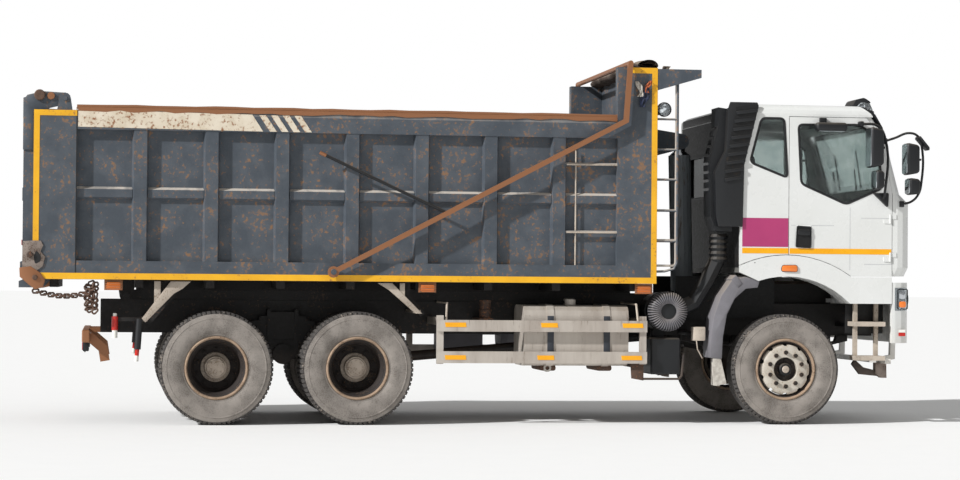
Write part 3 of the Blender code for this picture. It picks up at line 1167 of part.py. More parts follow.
def door(side, material, parent):
    """Whole door with its window cut and its lower corner shaped to the fender."""
    y = (CAB_HALF_WIDTH - CAB_WALL, CAB_HALF_WIDTH)
    panel = prism(DOOR_OUTLINE, "XZ", y)
    handle = box((4.345, 4.500), (CAB_HALF_WIDTH - 0.03, CAB_HALF_WIDTH + 0.008), (1.745, 1.975), 0.01)
    cuts = [prism(DOOR_WINDOW, "XZ", (1.0, 1.4)), arch_cutter(FLARE_RADIUS + RUNNING, (1.0, 1.4))]
    hinges = [half for height in HINGE_HEIGHTS for half in hinge_half(1, height, -1)]
    make(side_name("door", side), [panel, handle] + hinges, material, parent, cuts=cuts, side=side)


def inset(outline, gap):
    """Outline moved inwards by a gap, for a convex outline that runs clockwise or not."""
    count = len(outline)
    area = sum(outline[i - 1][0] * outline[i][1] - outline[i][0] * outline[i - 1][1] for i in range(count))
    sense = 1 if area > 0 else -1
    moved = []
    for i in range(count):
        here = Vector(outline[i])
        before = (here - Vector(outline[i - 1])).normalized()
        after = (Vector(outline[(i + 1) % count]) - here).normalized()
        n0 = Vector((-before.y, before.x)) * sense
        n1 = Vector((-after.y, after.x)) * sense
        moved.append(tuple(here + (n0 + n1) * gap / (1 + n0.dot(n1))))
    return moved


def door_glass(side, material, parent):
    """Pane in the door's window."""
    middle = CAB_HALF_WIDTH - CAB_WALL / 2
    pane = prism(inset(DOOR_WINDOW, SEAT), "XZ", (middle - 0.003, middle + 0.003))
    make(side_name("door_glass", side), [pane], material, parent, side=side)


def mirror(side, material, parent):
    """Two housings on an upright tube over a three-cornered foot."""
    y0 = CAB_HALF_WIDTH + SEAT
    foot = [(5.120, 2.300), (5.282, 2.305), (5.275, 2.157)]
    tube = [(5.225, y0 + 0.025, 2.23), (5.222, y0 + 0.09, 2.30), (5.215, y0 + 0.10, 2.86), (5.150, y0 + 0.08, 2.965),
            (4.990, y0 + 0.07, 2.985)]
    shapes = [prism(foot, "XZ", (y0, y0 + 0.045)), pipe(tube, 0.013),
              box((5.030, 5.170), (y0 + 0.06, y0 + 0.25), (2.545, 2.945), 0.03),
              box((5.090, 5.180), (y0 + 0.06, y0 + 0.24), (2.330, 2.522), 0.025),
              rod((5.12, y0 + 0.10, 2.75), (5.216, y0 + 0.10, 2.75), 0.012, 8),
              rod((5.12, y0 + 0.10, 2.43), (5.218, y0 + 0.10, 2.43), 0.012, 8)]
    make(side_name("mirror", side), shapes, material, parent, side=side)


def kerb_mirror(material, parent):
    """Look-down mirror on its foot over the right door's window."""
    y0 = CAB_HALF_WIDTH + SEAT
    shapes = [box((4.510, 4.830), (y0 + 0.02, y0 + 0.13), (2.900, 2.990), 0.03),
              box((4.570, 4.640), (y0, y0 + 0.035), (2.975, 3.040)),
              box((4.575, 4.635), (y0 + 0.012, y0 + 0.05), (2.960, 3.000))]
    make("kerb_mirror_right", shapes, material, parent, side=-1, solver="MANIFOLD")


def corner_mirror(material, parent):
    """Bowed arm on the right front pillar with two housings and the look-down mirror."""
    y = 1.210
    arm = [(5.250, y + 0.030, 2.820), (5.340, y + 0.05, 2.850), (5.500, y + 0.05, 2.904), (5.590, y + 0.05, 2.870),
           (5.620, y + 0.05, 2.800), (5.625, y + 0.05, 2.420), (5.590, y + 0.05, 2.290), (5.520, y + 0.045, 2.220),
           (5.430, y + 0.0335, 2.195)]
    shapes = [pipe(arm, 0.012),
              box((5.450, 5.590), (y - 0.04, y + 0.13), (2.484, 2.803), 0.03),
              box((5.480, 5.600), (y - 0.04, y + 0.12), (2.286, 2.455), 0.025),
              rod((5.55, y + 0.05, 2.64), (5.620, y + 0.05, 2.64), 0.009, 8),
              rod((5.55, y + 0.05, 2.37), (5.618, y + 0.05, 2.37), 0.009, 8),
              prism(strip([(5.585, 2.862), (5.690, 2.735)], 0.034), "XZ", (y - 0.03, y + 0.12))]
    make("corner_mirror_right", shapes, material, parent, side=-1)


def main():
    """Build every body and its pieces."""
    clear_scene()
    shift = (TRUCK_REAR + TRUCK_FRONT) / 2
    black = paint("chassis_black", (0.020, 0.016, 0.014), 0.7)
    rust = paint("rusted_steel", (0.300, 0.130, 0.060), 0.85)
    bed_blue = paint("bed_blue", (0.080, 0.105, 0.125), 0.65)
    white = paint("cab_white", (0.830, 0.830, 0.810), 0.35)
    plastic = paint("black_plastic", (0.018, 0.020, 0.024), 0.6)
    grey = paint("grey_plastic", (0.180, 0.185, 0.190), 0.6)
    rubber = paint("tyre_rubber", (0.110, 0.100, 0.090), 0.9)
    alloy = paint("dull_aluminium", (0.480, 0.440, 0.390), 0.45, 0.7)
    chrome = paint("hoist_chrome", (0.500, 0.500, 0.500), 0.25, 1.0)
    glass = paint("glass", (0.200, 0.260, 0.260), 0.05)
    cloth = paint("seat_cloth", (0.060, 0.060, 0.065), 0.9)

    chassis = body("truck", None, (0.0, 0.0, 0.0))
    chassis.location = (-shift, 0, 0)
    bed = body("bed", chassis, (BED_PIN_X, 0, BED_PIN_Z))
    gate = body("gate", bed, (TAILGATE_PIN_X, 0, TAILGATE_PIN_Z))
    bow = body("bow", bed, (BOW_PIN_X, 0, BOW_PIN_Z))
    foot = (HOIST_PIN_X, 0, HOIST_PIN_Z)
    barrel = body("barrel", chassis, foot)
    first = body("first_stage", barrel, foot)
    second = body("second_stage", first, foot)
    third = body("third_stage", second, foot)
    last = body("rod", third, foot)
    cab = body("cab", chassis, (CAB_PIVOT_X, 0, CAB_PIVOT_Z))

    frame(black, chassis)
    subframe(black, chassis)
    front_axle(black, chassis)
    drive_axle("axle_middle", 0.0, 0.37, black, chassis)
    drive_axle("axle_rear", -BOGIE_SPACING, 0.34, black, chassis)
    bogie_springs(black, chassis)
    engine(black, chassis)
    fuel_tank(alloy, chassis)
    silencer(grey, chassis)
    air_cleaner(plastic, chassis)
    bumper(white, chassis)
    rear_bumper(rust, chassis)
    hoist([("hoist_barrel", barrel), ("hoist_stage_1", first), ("hoist_stage_2", second), ("hoist_stage_3", third),
           ("hoist_rod", last)], chrome)

    bed_floor(bed_blue, bed)
    headboard(bed_blue, bed)
    tailgate(bed_blue, gate)
    tarp_bow(rust, bow)

    cab_floor(black, cab)
    cab_rear(white, cab)
    cab_roof(white, cab)
    cab_front(white, cab)
    windscreen(glass, cab)
    dashboard(plastic, cab)
    seats(cloth, cab)
    air_intake(plastic, cab)
    sun_visor(plastic, cab)
    corner_mirror(plastic, cab)

    for side in (-1, 1):
        side_guard(side, alloy, chassis)
        front_mudguard(side, grey, chassis)
        fender(side, white, chassis)
        steps(side, alloy, chassis)
        headlamp(side, glass, chassis)
        bed_side(side, bed_blue, bed)
        cab_side(side, white, cab)
        leaf = body(side_name("door_body", side), cab, (HINGE_X, side * HINGE_Y, 2.0))
        door(side, white, leaf)
        door_glass(side, glass, leaf)
        mirror(side, plastic, leaf)
        if side < 0:
            kerb_mirror(plastic, leaf)
        steer = body(side_name("steer", side), chassis, (WHEELBASE, side * KINGPIN_Y, TYRE_RADIUS))
        knuckle(side, black, steer)
        spin = body(side_name("front_spin", side), steer, (WHEELBASE, side * TYRE_CENTRE_Y, TYRE_RADIUS))
        front_wheel(side_name("wheel_front", side), side, rubber, spin)
        for axle, x in (("middle", 0.0), ("rear", -BOGIE_SPACING)):
            spin = body(side_name(f"{axle}_spin", side), chassis, (x, side * TWIN_CENTRE_Y, TYRE_RADIUS))
            twin_wheel(side_name(f"wheels_{axle}", side), x, side, rubber, spin)


main()
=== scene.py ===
"""Dresses the three-axle dump truck: finishes for every solid, real tyres and rims, and the small fittings."""

import json
import logging
import math
import random
from dataclasses import dataclass
from enum import Enum

import bpy
from mathutils import Matrix, Vector

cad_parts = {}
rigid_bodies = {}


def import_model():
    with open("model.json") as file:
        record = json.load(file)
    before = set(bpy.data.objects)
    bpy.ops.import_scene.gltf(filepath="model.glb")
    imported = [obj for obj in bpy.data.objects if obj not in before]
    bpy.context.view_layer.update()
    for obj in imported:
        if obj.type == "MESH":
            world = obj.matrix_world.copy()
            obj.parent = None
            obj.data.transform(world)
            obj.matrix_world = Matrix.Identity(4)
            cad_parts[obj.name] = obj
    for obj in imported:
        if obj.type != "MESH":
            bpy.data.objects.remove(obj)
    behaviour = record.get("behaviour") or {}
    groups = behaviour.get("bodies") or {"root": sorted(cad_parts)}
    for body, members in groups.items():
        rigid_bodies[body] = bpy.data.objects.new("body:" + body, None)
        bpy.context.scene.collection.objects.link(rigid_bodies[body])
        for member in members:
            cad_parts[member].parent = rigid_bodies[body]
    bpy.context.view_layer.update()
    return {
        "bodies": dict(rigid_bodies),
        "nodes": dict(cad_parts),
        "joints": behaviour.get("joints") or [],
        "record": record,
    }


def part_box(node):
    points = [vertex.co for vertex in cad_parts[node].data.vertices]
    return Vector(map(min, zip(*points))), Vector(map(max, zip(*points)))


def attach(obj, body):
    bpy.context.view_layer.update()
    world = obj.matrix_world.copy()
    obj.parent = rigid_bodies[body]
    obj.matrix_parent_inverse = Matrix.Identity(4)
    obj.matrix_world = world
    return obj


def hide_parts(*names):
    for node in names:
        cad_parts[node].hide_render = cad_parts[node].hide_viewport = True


REPORT = logging.getLogger("dump_truck")

Flat = tuple[float, float]
Point = tuple[float, float, float]
Thing = bpy.types.Object
Socket = bpy.types.NodeSocket
Tree = bpy.types.NodeTree
Material = bpy.types.Material

SHIFT_X = -1.2466  # from sizes counted from the middle axle to the model's own origin
CAB_FACE = 5.536  # the cab's front skin, from the middle axle
CAB_BACK = 3.774  # the cab's rear wall
AXLES = (-1.35, 0.0, 4.25)
HUB_HEIGHT = 0.545
SIDE_FACE = 1.25  # outer face of the bed's posts and rails
FRAME_FACE = 0.436  # outer face of the frame's rails, which brackets reach
SIDES = (("right", -1.0), ("left", 1.0))  # each side's name and the sign of its Y
MIRROR_Y = Matrix.Diagonal((1, -1, 1, 1))

TONE = (0.38, 0.62)  # broad noise values between which a colour turns into its shade
BROAD_SHARE = 0.55  # how much the broad noise counts beside the fine one in the wear
DUST_SLOPE = (0.15, 0.75)  # upward parts of a face's direction between which dust gathers
GLOSS_SPREAD = (0.08, 0.12)  # how much smoother and rougher than its mean the fine grain makes a surface
GRAIN_SHOWN = (0.3, 0.7)  # fine noise values between which the gloss changes
DIRT_RAGGED = 0.45  # metres by which the broad noise moves the edge of road dirt
DIRT_FADE = (0.225, 0.6)  # metres below the edge at which dirt begins and is full
DIRT_MOST = 0.75  # how much of the colour full dirt hides


def linear(colour: str) -> tuple[float, float, float, float]:
    """Turns an sRGB hex colour to linear values.

    Args:
        colour: six hex digits, with or without the hash.

    Returns:
        Red, green, blue and a full alpha.
    """
    digits = colour.lstrip("#")
    parts = [int(digits[i : i + 2], 16) / 255 for i in (0, 2, 4)]
    red, green, blue = (c / 12.92 if c <= 0.04045 else ((c + 0.055) / 1.055) ** 2.4 for c in parts)
    return red, green, blue, 1.0


def add_node(tree: Tree, kind: str, settings: dict | None = None, inputs: dict | None = None) -> bpy.types.Node:
    """Adds a shader node.

    Args:
        tree: the node tree it goes into.
        kind: the node's type without its ShaderNode prefix.
        settings: attributes of the node.
        inputs: socket name or number to a constant, or to the output socket that feeds it.

    Returns:
        The new node.
    """
    node = tree.nodes.new("ShaderNode" + kind)
    for name, value in (settings or {}).items():
        setattr(node, name, value)
    for name, value in (inputs or {}).items():
        if isinstance(value, Socket):
            tree.links.new(value, node.inputs[name])
        else:
            node.inputs[name].default_value = value
    return node


def noise(tree: Tree, place: Socket, scale: float, detail: float = 2.0, roughness: float = 0.5) -> Socket:
    """Adds a noise texture on coordinates and returns its value's socket."""
    inputs = {"Vector": place, "Scale": scale, "Detail": detail, "Roughness": roughness}
    return add_node(tree, "TexNoise", inputs=inputs).outputs["Fac"]


def ranged(tree: Tree, value: Socket, start: float, end: float, low: float = 0.0, high: float = 1.0) -> Socket:
    """Maps a value between start and end to one between low and high, and returns the socket."""
    inputs = {"Value": value, "From Min": start, "From Max": end, "To Min": low, "To Max": high}
    return add_node(tree, "MapRange", inputs=inputs).outputs["Result"]


def summed(tree: Tree, value: Socket, share: float, other: Socket, clamp: bool = False) -> Socket:
    """Adds a share of a value to another value and returns the socket."""
    settings = {"operation": "MULTIPLY_ADD", "use_clamp": clamp}
    return add_node(tree, "Math", settings, {0: value, 1: share, 2: other}).outputs[0]


def mix(tree: Tree, share: Socket, first: object, second: object) -> Socket:
    """Mixes two colours, given as values or sockets, by a share, and returns the socket."""
    return add_node(tree, "Mix", {"data_type": "RGBA"}, {0: share, 6: first, 7: second}).outputs[2]


def new_material(name: str) -> tuple[Material, Tree, bpy.types.Node, Socket]:
    """Starts a material and returns it with its tree, its shader and the socket of the object's own coordinates."""
    made = bpy.data.materials.new(name)
    made.use_nodes = True
    tree = made.node_tree
    return made, tree, tree.nodes["Principled BSDF"], add_node(tree, "TexCoord").outputs["Object"]


class Wear(Enum):
    """The way in which a surface has aged."""

    CLEAN = "clean"
    SPECKLED = "speckled"
    STREAKED = "streaked"


@dataclass(frozen=True)
class Finish:
    """A real surface: its colours, gloss, grain and what has settled on it."""

    name: str
    colour: str
    shade: str
    roughness: float
    metallic: float = 0.0
    wear: Wear = Wear.CLEAN
    worn: str = "#A8683C"
    cover: Flat = (0.6, 0.68)  # noise values between which the wear shows
    patch: float = 0.35  # metres between broad patches
    grain: float = 0.02  # metres between fine spots
    bump: float = 0.0004  # metres
    dust: float = 0.0  # how thick dust lies on faces that look up
    dirt_height: float = 0.0  # road dirt fades out at this height
    dust_colour: str = "#A89A88"

    def material(self) -> Material:
        """Builds the material once.

        Returns:
            The material of this finish.
        """
        known = bpy.data.materials.get(self.name)
        if known:
            return known
        made, tree, shader, place = new_material(self.name)
        stretch = (1.0, 1.0, 0.16) if self.wear is Wear.STREAKED else (1.0, 1.0, 1.0)
        run = add_node(tree, "Mapping", inputs={"Vector": place, "Scale": stretch}).outputs["Vector"]
        broad = noise(tree, run, 1 / self.patch, 5.0, 0.6)
        fine = noise(tree, run, 1 / self.grain, 5.0, 0.62)
        tone = ranged(tree, broad, *TONE)
        colour = mix(tree, tone, linear(self.colour), linear(self.shade))
        if self.wear is not Wear.CLEAN:
            both = summed(tree, broad, BROAD_SHARE, fine)
            spots = ranged(tree, both, *(value + BROAD_SHARE / 2 for value in self.cover))
            colour = mix(tree, spots, colour, linear(self.worn))
        if self.dust:
            facing = add_node(tree, "TexCoord").outputs["Normal"]
            up = add_node(tree, "SeparateXYZ", inputs={0: facing}).outputs["Z"]
            lying = ranged(tree, up, *DUST_SLOPE, high=self.dust)
            uneven = add_node(tree, "Math", {"operation": "MULTIPLY"}, {0: lying, 1: tone}).outputs[0]
            colour = mix(tree, summed(tree, lying, BROAD_SHARE, uneven, True), colour, linear(self.dust_colour))
        if self.dirt_height:
            height = add_node(tree, "SeparateXYZ", inputs={0: place}).outputs["Z"]
            ragged = summed(tree, broad, -DIRT_RAGGED, height)
            splash = ranged(tree, ragged, *(self.dirt_height - depth for depth in DIRT_FADE), high=DIRT_MOST)
            colour = mix(tree, splash, colour, linear(self.dust_colour))
        tree.links.new(colour, shader.inputs["Base Color"])
        shader.inputs["Metallic"].default_value = self.metallic
        smooth, rough = max(self.roughness - GLOSS_SPREAD[0], 0.03), min(self.roughness + GLOSS_SPREAD[1], 1.0)
        gloss = ranged(tree, fine, *GRAIN_SHOWN, smooth, rough)
        tree.links.new(gloss, shader.inputs["Roughness"])
        if self.bump:
            relief = add_node(tree, "Bump", inputs={"Height": fine, "Distance": self.bump * 4, "Strength": 0.6})
            tree.links.new(relief.outputs["Normal"], shader.inputs["Normal"])
        return made


@dataclass(frozen=True)
class Glass:
    """Clear or coloured glass or acrylic with a polished face."""

    name: str
    colour: str
    roughness: float = 0.03
    clear: float = 1.0

    def material(self) -> Material:
        """Builds the material once and returns it."""
        known = bpy.data.materials.get(self.name)
        if known:
            return known
        made, tree, shader, place = new_material(self.name)
        film = noise(tree, place, 6.0, 4.0)
        far = linear("#D9DEDC" if self.clear == 1.0 else self.colour)
        tree.links.new(mix(tree, film, linear(self.colour), far), shader.inputs["Base Color"])
        haze = ranged(tree, film, 0.45, 0.75, self.roughness, self.roughness + 0.12)
        tree.links.new(haze, shader.inputs["Roughness"])
        shader.inputs["IOR"].default_value = 1.5
        shader.inputs["Transmission Weight"].default_value = self.clear
        return made


def speckled(name: str, colour: str, shade: str, roughness: float, worn: str, cover: Flat, **more: object) -> Finish:
    """Makes a finish that has worn through in spots of another colour, and returns it."""
    return Finish(name, colour, shade, roughness, wear=Wear.SPECKLED, worn=worn, cover=cover, **more)


# Paint on welded steel, weathered: a blue-grey coat with pinholes of rust and pale dust on every ledge.
BED_PAINT = speckled(
    "bed_enamel", "#414850", "#50565D", 0.6, "#846449", (0.575, 0.7), patch=0.22, grain=0.035, bump=0.0008, dust=0.9, dust_colour="#BDB5AB",
)
# The floor is black underneath, and scoured and dusty brown where loads slide over it.
BED_FLOOR = speckled("floor_plate_steel", "#1C1817", "#141110", 0.7, "#4A382C", (0.6, 0.72), dust=0.95, dust_colour="#7D6E62")
# Hot-rolled steel whose paint is gone: orange-brown scale.
RUST = speckled("rusted_steel", "#A4623A", "#7C4A2E", 0.85, "#C48A5E", (0.52, 0.66), grain=0.012, bump=0.0009)
# Rust soaked with oil and grease: dark brown with orange breaks.
DARK_RUST = speckled("oily_rust", "#5B4436", "#3A2E28", 0.7, "#8C5B3A", (0.55, 0.68), grain=0.018, bump=0.0009)
# Scoured plate at the hooks: grey-brown, with darker scale left in the low places.
WEATHERED = speckled("scoured_plate", "#8F8279", "#74685F", 0.75, "#4E372A", (0.55, 0.66), patch=0.1, grain=0.012, bump=0.0008)
# Chassis enamel under years of road film: near black and brownish.
CHASSIS = speckled(
    "chassis_enamel", "#15110F", "#0E0B0A", 0.6, "#4A382C", (0.6, 0.72), grain=0.03, dust=0.45, dirt_height=0.75, dust_colour="#5E5046",
)
# Two-coat cab enamel: bright, smooth, with a light film of dust low down.
CAB_WHITE = Finish("cab_enamel", "#E1E2E0", "#DCDDDA", 0.26, patch=0.9, grain=0.25, bump=0.0, dirt_height=1.0, dust_colour="#D8D3CA")
# The cab's rear wall and the fairings behind it are near black, speckled and lightly dusted; behind the grille bars and
# between the intake slats the same near black is painted shade.
BLACK_AND_SHADE = speckled("near_black_and_painted_shade", "#0C0C0D", "#080809", 0.6, "#33291F", (0.6, 0.74), grain=0.03, dust=0.12)
# Masked and sprayed enamel on the cab: an even yellow with a slight gloss.
CAB_YELLOW = Finish("cab_stripe_enamel", "#F9B208", "#F2A800", 0.3, grain=0.05, bump=0.00003)
# Cast vinyl film: one flat colour with a satin shine.
MAGENTA = Finish("magenta_film", "#B03A6E", "#A8356A", 0.35, grain=0.05, bump=0.00003)
# Brushed enamel on the bed: yellow with rusty chips.
BED_YELLOW = speckled("chrome_yellow_enamel", "#F0B41C", "#E2A61A", 0.5, "#B07C34", (0.62, 0.72), grain=0.03)
# Old brushed enamel: warm white, flaked off to rust in patches.
CREAM = speckled("cream_enamel", "#DDD2BF", "#CDBFA8", 0.6, "#8F6242", (0.535, 0.66), patch=0.16, grain=0.03)
# Moulded ABS with a fine grain, greyed by dust.
BLACK_PLASTIC = Finish("moulded_abs", "#15171A", "#101215", 0.48, grain=0.008, bump=0.0001, dust=0.12)
# Moulded polymer bleached by the sun and covered in dust: a dull mid grey.
GREY_PLASTIC = Finish("dusty_moulded_polymer", "#77757A", "#69676B", 0.65, grain=0.01, bump=0.0002, dust=0.4)
# A pressed line in the door skin reads as a thin grey shade.
PRESSED_LINE = Finish("pressed_line_shade", "#B4B6B8", "#A9ABAE", 0.4, grain=0.05, bump=0.0)
# Extruded rubber: black and matt.
RUBBER_SEAL = Finish("moulded_epdm", "#17181A", "#111214", 0.6, grain=0.006, bump=0.0001)
# Vulcanised rubber: the tread wears charcoal grey and the walls hold beige dust.
TYRE_WALL = speckled("dusty_tyre_rubber", "#8E8780", "#79736D", 0.85, "#635C55", (0.54, 0.7), patch=0.16, grain=0.01, bump=0.0005)
TYRE_TREAD = speckled("tread_rubber", "#454240", "#3F3C3A", 0.9, "#8A8076", (0.56, 0.68), patch=0.2, grain=0.015, bump=0.0006)
# Enamelled pressed steel: dusty white on the front disc, tan on the rims, and brown-black inside, which is grime and
# painted shade in the deep wells.
RIM_WHITE = speckled("rim_enamel", "#C9C2B6", "#B7AFA2", 0.5, "#9A8468", (0.58, 0.7), patch=0.15, grain=0.012)
RIM_TAN = speckled("dusty_rim_enamel", "#A9917A", "#927B66", 0.7, "#6E5844", (0.56, 0.68), patch=0.15, grain=0.014)
RIM_GRIME_AND_SHADE = speckled("rim_inside_grime_and_shade", "#2A2320", "#1D1816", 0.75, "#5A4838", (0.58, 0.7), patch=0.15, grain=0.014)
# Forged steel with a phosphate coat: dark grey with a weak metal shine.
NUT_GREY = speckled("phosphated_nut_steel", "#33302D", "#262321", 0.55, "#7A6452", (0.56, 0.68), metallic=0.5, patch=0.08, grain=0.006)
# Cast iron under pale dust: rough and light grey-brown.
HUB_GREY = speckled("cast_hub_iron", "#BDB0A2", "#A79A8C", 0.6, "#6E5A48", (0.56, 0.68), metallic=0.2, patch=0.1, grain=0.01)
# Turned steel: bright, with a soft shine.
STEEL_BRIGHT = Finish("turned_steel", "#B9B4AC", "#9A948C", 0.35, metallic=0.8, grain=0.01, bump=0.0001)
# Rolled aluminium gone dull: pale warm grey with water marks.
ALUMINIUM = Finish(
    "dull_rolled_aluminium", "#C4BCB2", "#ADA399", 0.5, metallic=0.25, wear=Wear.STREAKED, worn="#8E8276", cover=(0.6, 0.74), patch=0.25,
    grain=0.03, dust=0.3,
)
# Galvanised steel under dust: pale, dull and warm.
STEP_METAL = speckled("dusty_step_steel", "#C9BDAE", "#A99D90", 0.6, "#80705F", (0.58, 0.7), metallic=0.2, grain=0.015, dust=0.4)
# Rolled strap steel under thin paint: slate grey.
STRAP = Finish("dark_strap_steel", "#3A3F48", "#2E3239", 0.5, grain=0.01, dust=0.3)
# Hard chrome, ground: a clean mirror with a faint haze.
CHROME = Finish("ground_hard_chrome", "#C9CCD0", "#BFC2C6", 0.16, metallic=1.0, grain=0.02, bump=0.00002)
# Sprayed enamel on a steel tube: cool grey with brown runs.
BARREL = Finish("hoist_enamel", "#8C9296", "#7C8286", 0.45, wear=Wear.STREAKED, worn="#5A4A3E", cover=(0.62, 0.74), grain=0.03, dust=0.3)
# Woven polyester: dark grey and wholly matt.
SEAT_CLOTH = Finish("woven_polyester", "#3A3D42", "#2E3136", 0.95, grain=0.003, bump=0.0004)
# Moulded polypropylene: dull grey-brown.
TRIM = Finish("cab_trim_polypropylene", "#6B6A66", "#5E5D5A", 0.7, grain=0.005, bump=0.0002)
# Moulded acrylic is coloured right through and moulded polycarbonate is clear. Both have a glossy face.
LAMP_AMBER = Glass("amber_acrylic", "#FF8A3A", 0.12, 0.15)
LAMP_RED = Glass("red_acrylic", "#B3141A", 0.12, 0.35)
LAMP_CLEAR = Glass("moulded_polycarbonate", "#DDE4E8", 0.05, 0.85)
# Rolled and toughened glass: clear with a grey-green tint, and nearly black in the cab's rear wall.
WINDOW = Glass("tinted_safety_glass", "#9FB0AE")
REAR_WINDOW = Glass("dark_tinted_glass", "#34393A", 0.06, 0.85)
# Silvered glass: a plain mirror.
MIRROR = Finish("silvered_glass", "#C8CED2", "#C2C8CC", 0.04, metallic=1.0, grain=0.2, bump=0.0)
# Reflecting film: flat, bright colours with a satin face.
REFLECT_WHITE = Finish("white_reflector", "#F1F0EA", "#E8E6DE", 0.3, grain=0.01)
REFLECT_RED = Finish("red_reflector", "#C6281E", "#B3231B", 0.3, grain=0.01)
REFLECT_AMBER = Finish("amber_reflector", "#FBB214", "#F3A510", 0.3, grain=0.008)
# Canvas with a vinyl coat: matt dark brown, dusty on top.
TARPAULIN = speckled("coated_canvas", "#4A3A30", "#33302E", 0.85, "#7A6654", (0.54, 0.66), patch=0.12, grain=0.006, bump=0.0006, dust=0.4)
# Woven cotton, oily, washed pale or dyed: soft and wholly matt.
RAG_CLOTH = Finish("oily_cotton", "#2C3550", "#20242E", 0.95, patch=0.06, grain=0.004, bump=0.0005)
RAG_PALE = Finish("washed_cotton", "#C9C4BA", "#A9A299", 0.95, patch=0.05, grain=0.004, bump=0.0005)
RAG_ORANGE = Finish("orange_cotton", "#B5623A", "#8C4A30", 0.95, patch=0.05, grain=0.004, bump=0.0005)


class Plane(Enum):
    """The plane that a slab's outline is drawn in, as the axes of its two numbers and of its thickness."""

    SIDE = (0, 2, 1)
    TOP = (0, 1, 2)
    FRONT = (1, 2, 0)

    def point(self, first: float, second: float, depth: float) -> Point:
        """Places the outline's two numbers and a depth on the three axes."""
        place = [0.0, 0.0, 0.0]
        for axis, value in zip(self.value, (first, second, depth)):
            place[axis] = value
        return place[0], place[1], place[2]


def pick(*pieces: Thing) -> None:
    """Selects only these objects and makes the first one active."""
    bpy.ops.object.select_all(action="DESELECT")
    for piece in pieces:
        piece.select_set(True)
    bpy.context.view_layer.objects.active = pieces[0]


def edited(piece: Thing, *steps: object) -> None:
    """Runs each step, a function without arguments, on the whole mesh in edit mode."""
    pick(piece)
    bpy.ops.object.mode_set(mode="EDIT")
    bpy.ops.mesh.select_all(action="SELECT")
    for step in steps:
        step()
    bpy.ops.object.mode_set(mode="OBJECT")


def outwards() -> None:
    """Points every face of the mesh in edit mode outwards."""
    bpy.ops.mesh.select_all(action="SELECT")
    bpy.ops.mesh.normals_make_consistent(inside=False)


def add_modifier(piece: Thing, kind: str, **settings: object) -> Thing:
    """Applies a modifier.

    Args:
        piece: the object it works on.
        kind: the modifier's type.
        settings: its attributes.

    Returns:
        The same object.
    """
    pick(piece)
    modifier = piece.modifiers.new(kind.lower(), kind)
    for name, value in settings.items():
        setattr(modifier, name, value)
    bpy.ops.object.modifier_apply(modifier=modifier.name)
    return piece


def rounded(piece: Thing, width: float, segments: int = 2) -> Thing:
    """Rounds the sharp edges of a piece and returns it."""
    if width:
        add_modifier(piece, "BEVEL", width=width, segments=segments, limit_method="ANGLE", angle_limit=0.6)
    return piece


def slab(outline: list[Flat], start: float, end: float, plane: Plane = Plane.SIDE, bevel: float = 0.0) -> Thing:
    """Extrudes an outline into a plate.

    Args:
        outline: its corners in the plane, in order.
        start: where the plate begins across the plane.
        end: where it ends.
        plane: the plane of the outline.
        bevel: radius of its edges.

    Returns:
        The plate.
    """
    bpy.ops.mesh.primitive_circle_add(vertices=len(outline), fill_type="NGON")
    piece = bpy.context.object
    for vertex, (first, second) in zip(piece.data.vertices, outline):
        vertex.co = plane.point(first, second, start)
    step = plane.point(0.0, 0.0, end - start)
    edited(piece, lambda: bpy.ops.mesh.extrude_region_move(TRANSFORM_OT_translate={"value": step}), outwards)
    return rounded(piece, bevel)


def rectangle(left: float, low: float, right: float, high: float) -> list[Flat]:
    """Returns the corners of an upright rectangle in a plane."""
    return [(left, low), (right, low), (right, high), (left, high)]


def block(low: Point, high: Point, bevel: float = 0.002, segments: int = 2) -> Thing:
    """Makes a bevelled bar between two corners and returns it."""
    return rounded(slab(rectangle(low[0], low[2], high[0], high[2]), low[1], high[1]), bevel, segments)


def frame_of(outer: list[Flat], inner: list[Flat], start: float, end: float, plane: Plane = Plane.SIDE, bevel: float = 0.0) -> Thing:
    """Makes a flat ring between two outlines with the same number of corners.

    Args:
        outer: the outer outline.
        inner: the inner outline, corner for corner.
        start: where the ring begins across the plane.
        end: where it ends.
        plane: the plane of the outlines.
        bevel: radius of its edges.

    Returns:
        The ring.
    """
    bpy.ops.mesh.primitive_circle_add(vertices=len(outer), fill_type="NOTHING")
    piece = bpy.context.object
    for vertex, (first, second) in zip(piece.data.vertices, outer):
        vertex.co = plane.point(first, second, start)
    edited(piece, lambda: bpy.ops.mesh.extrude_region_move())
    for vertex, (first, second) in zip(list(piece.data.vertices)[len(outer) :], inner):
        vertex.co = plane.point(first, second, start)
    step = plane.point(0.0, 0.0, end - start)
    edited(piece, lambda: bpy.ops.mesh.extrude_region_move(TRANSFORM_OT_translate={"value": step}), outwards)
    return rounded(piece, bevel)


def grown(outline: list[Flat], by: float) -> list[Flat]:
    """Moves each side of an outline outwards by a distance.

    Args:
        outline: its corners in order.
        by: the distance, negative to shrink.

    Returns:
        The new corners.
    """
    area = sum(a[0] * b[1] - b[0] * a[1] for a, b in zip(outline, outline[1:] + outline[:1]))
    turn = 1.0 if area > 0 else -1.0
    made = []
    for before, here, after in zip(outline[-1:] + outline[:-1], outline, outline[1:] + outline[:1]):
        first = (Vector(here) - Vector(before)).normalized()
        second = (Vector(after) - Vector(here)).normalized()
        normals = [Vector((d.y, -d.x)) * turn for d in (first, second)]
        both = normals[0] + normals[1]
        made.append(tuple(Vector(here) + both * (by / max(both.dot(normals[0]), 0.3))))
    return made


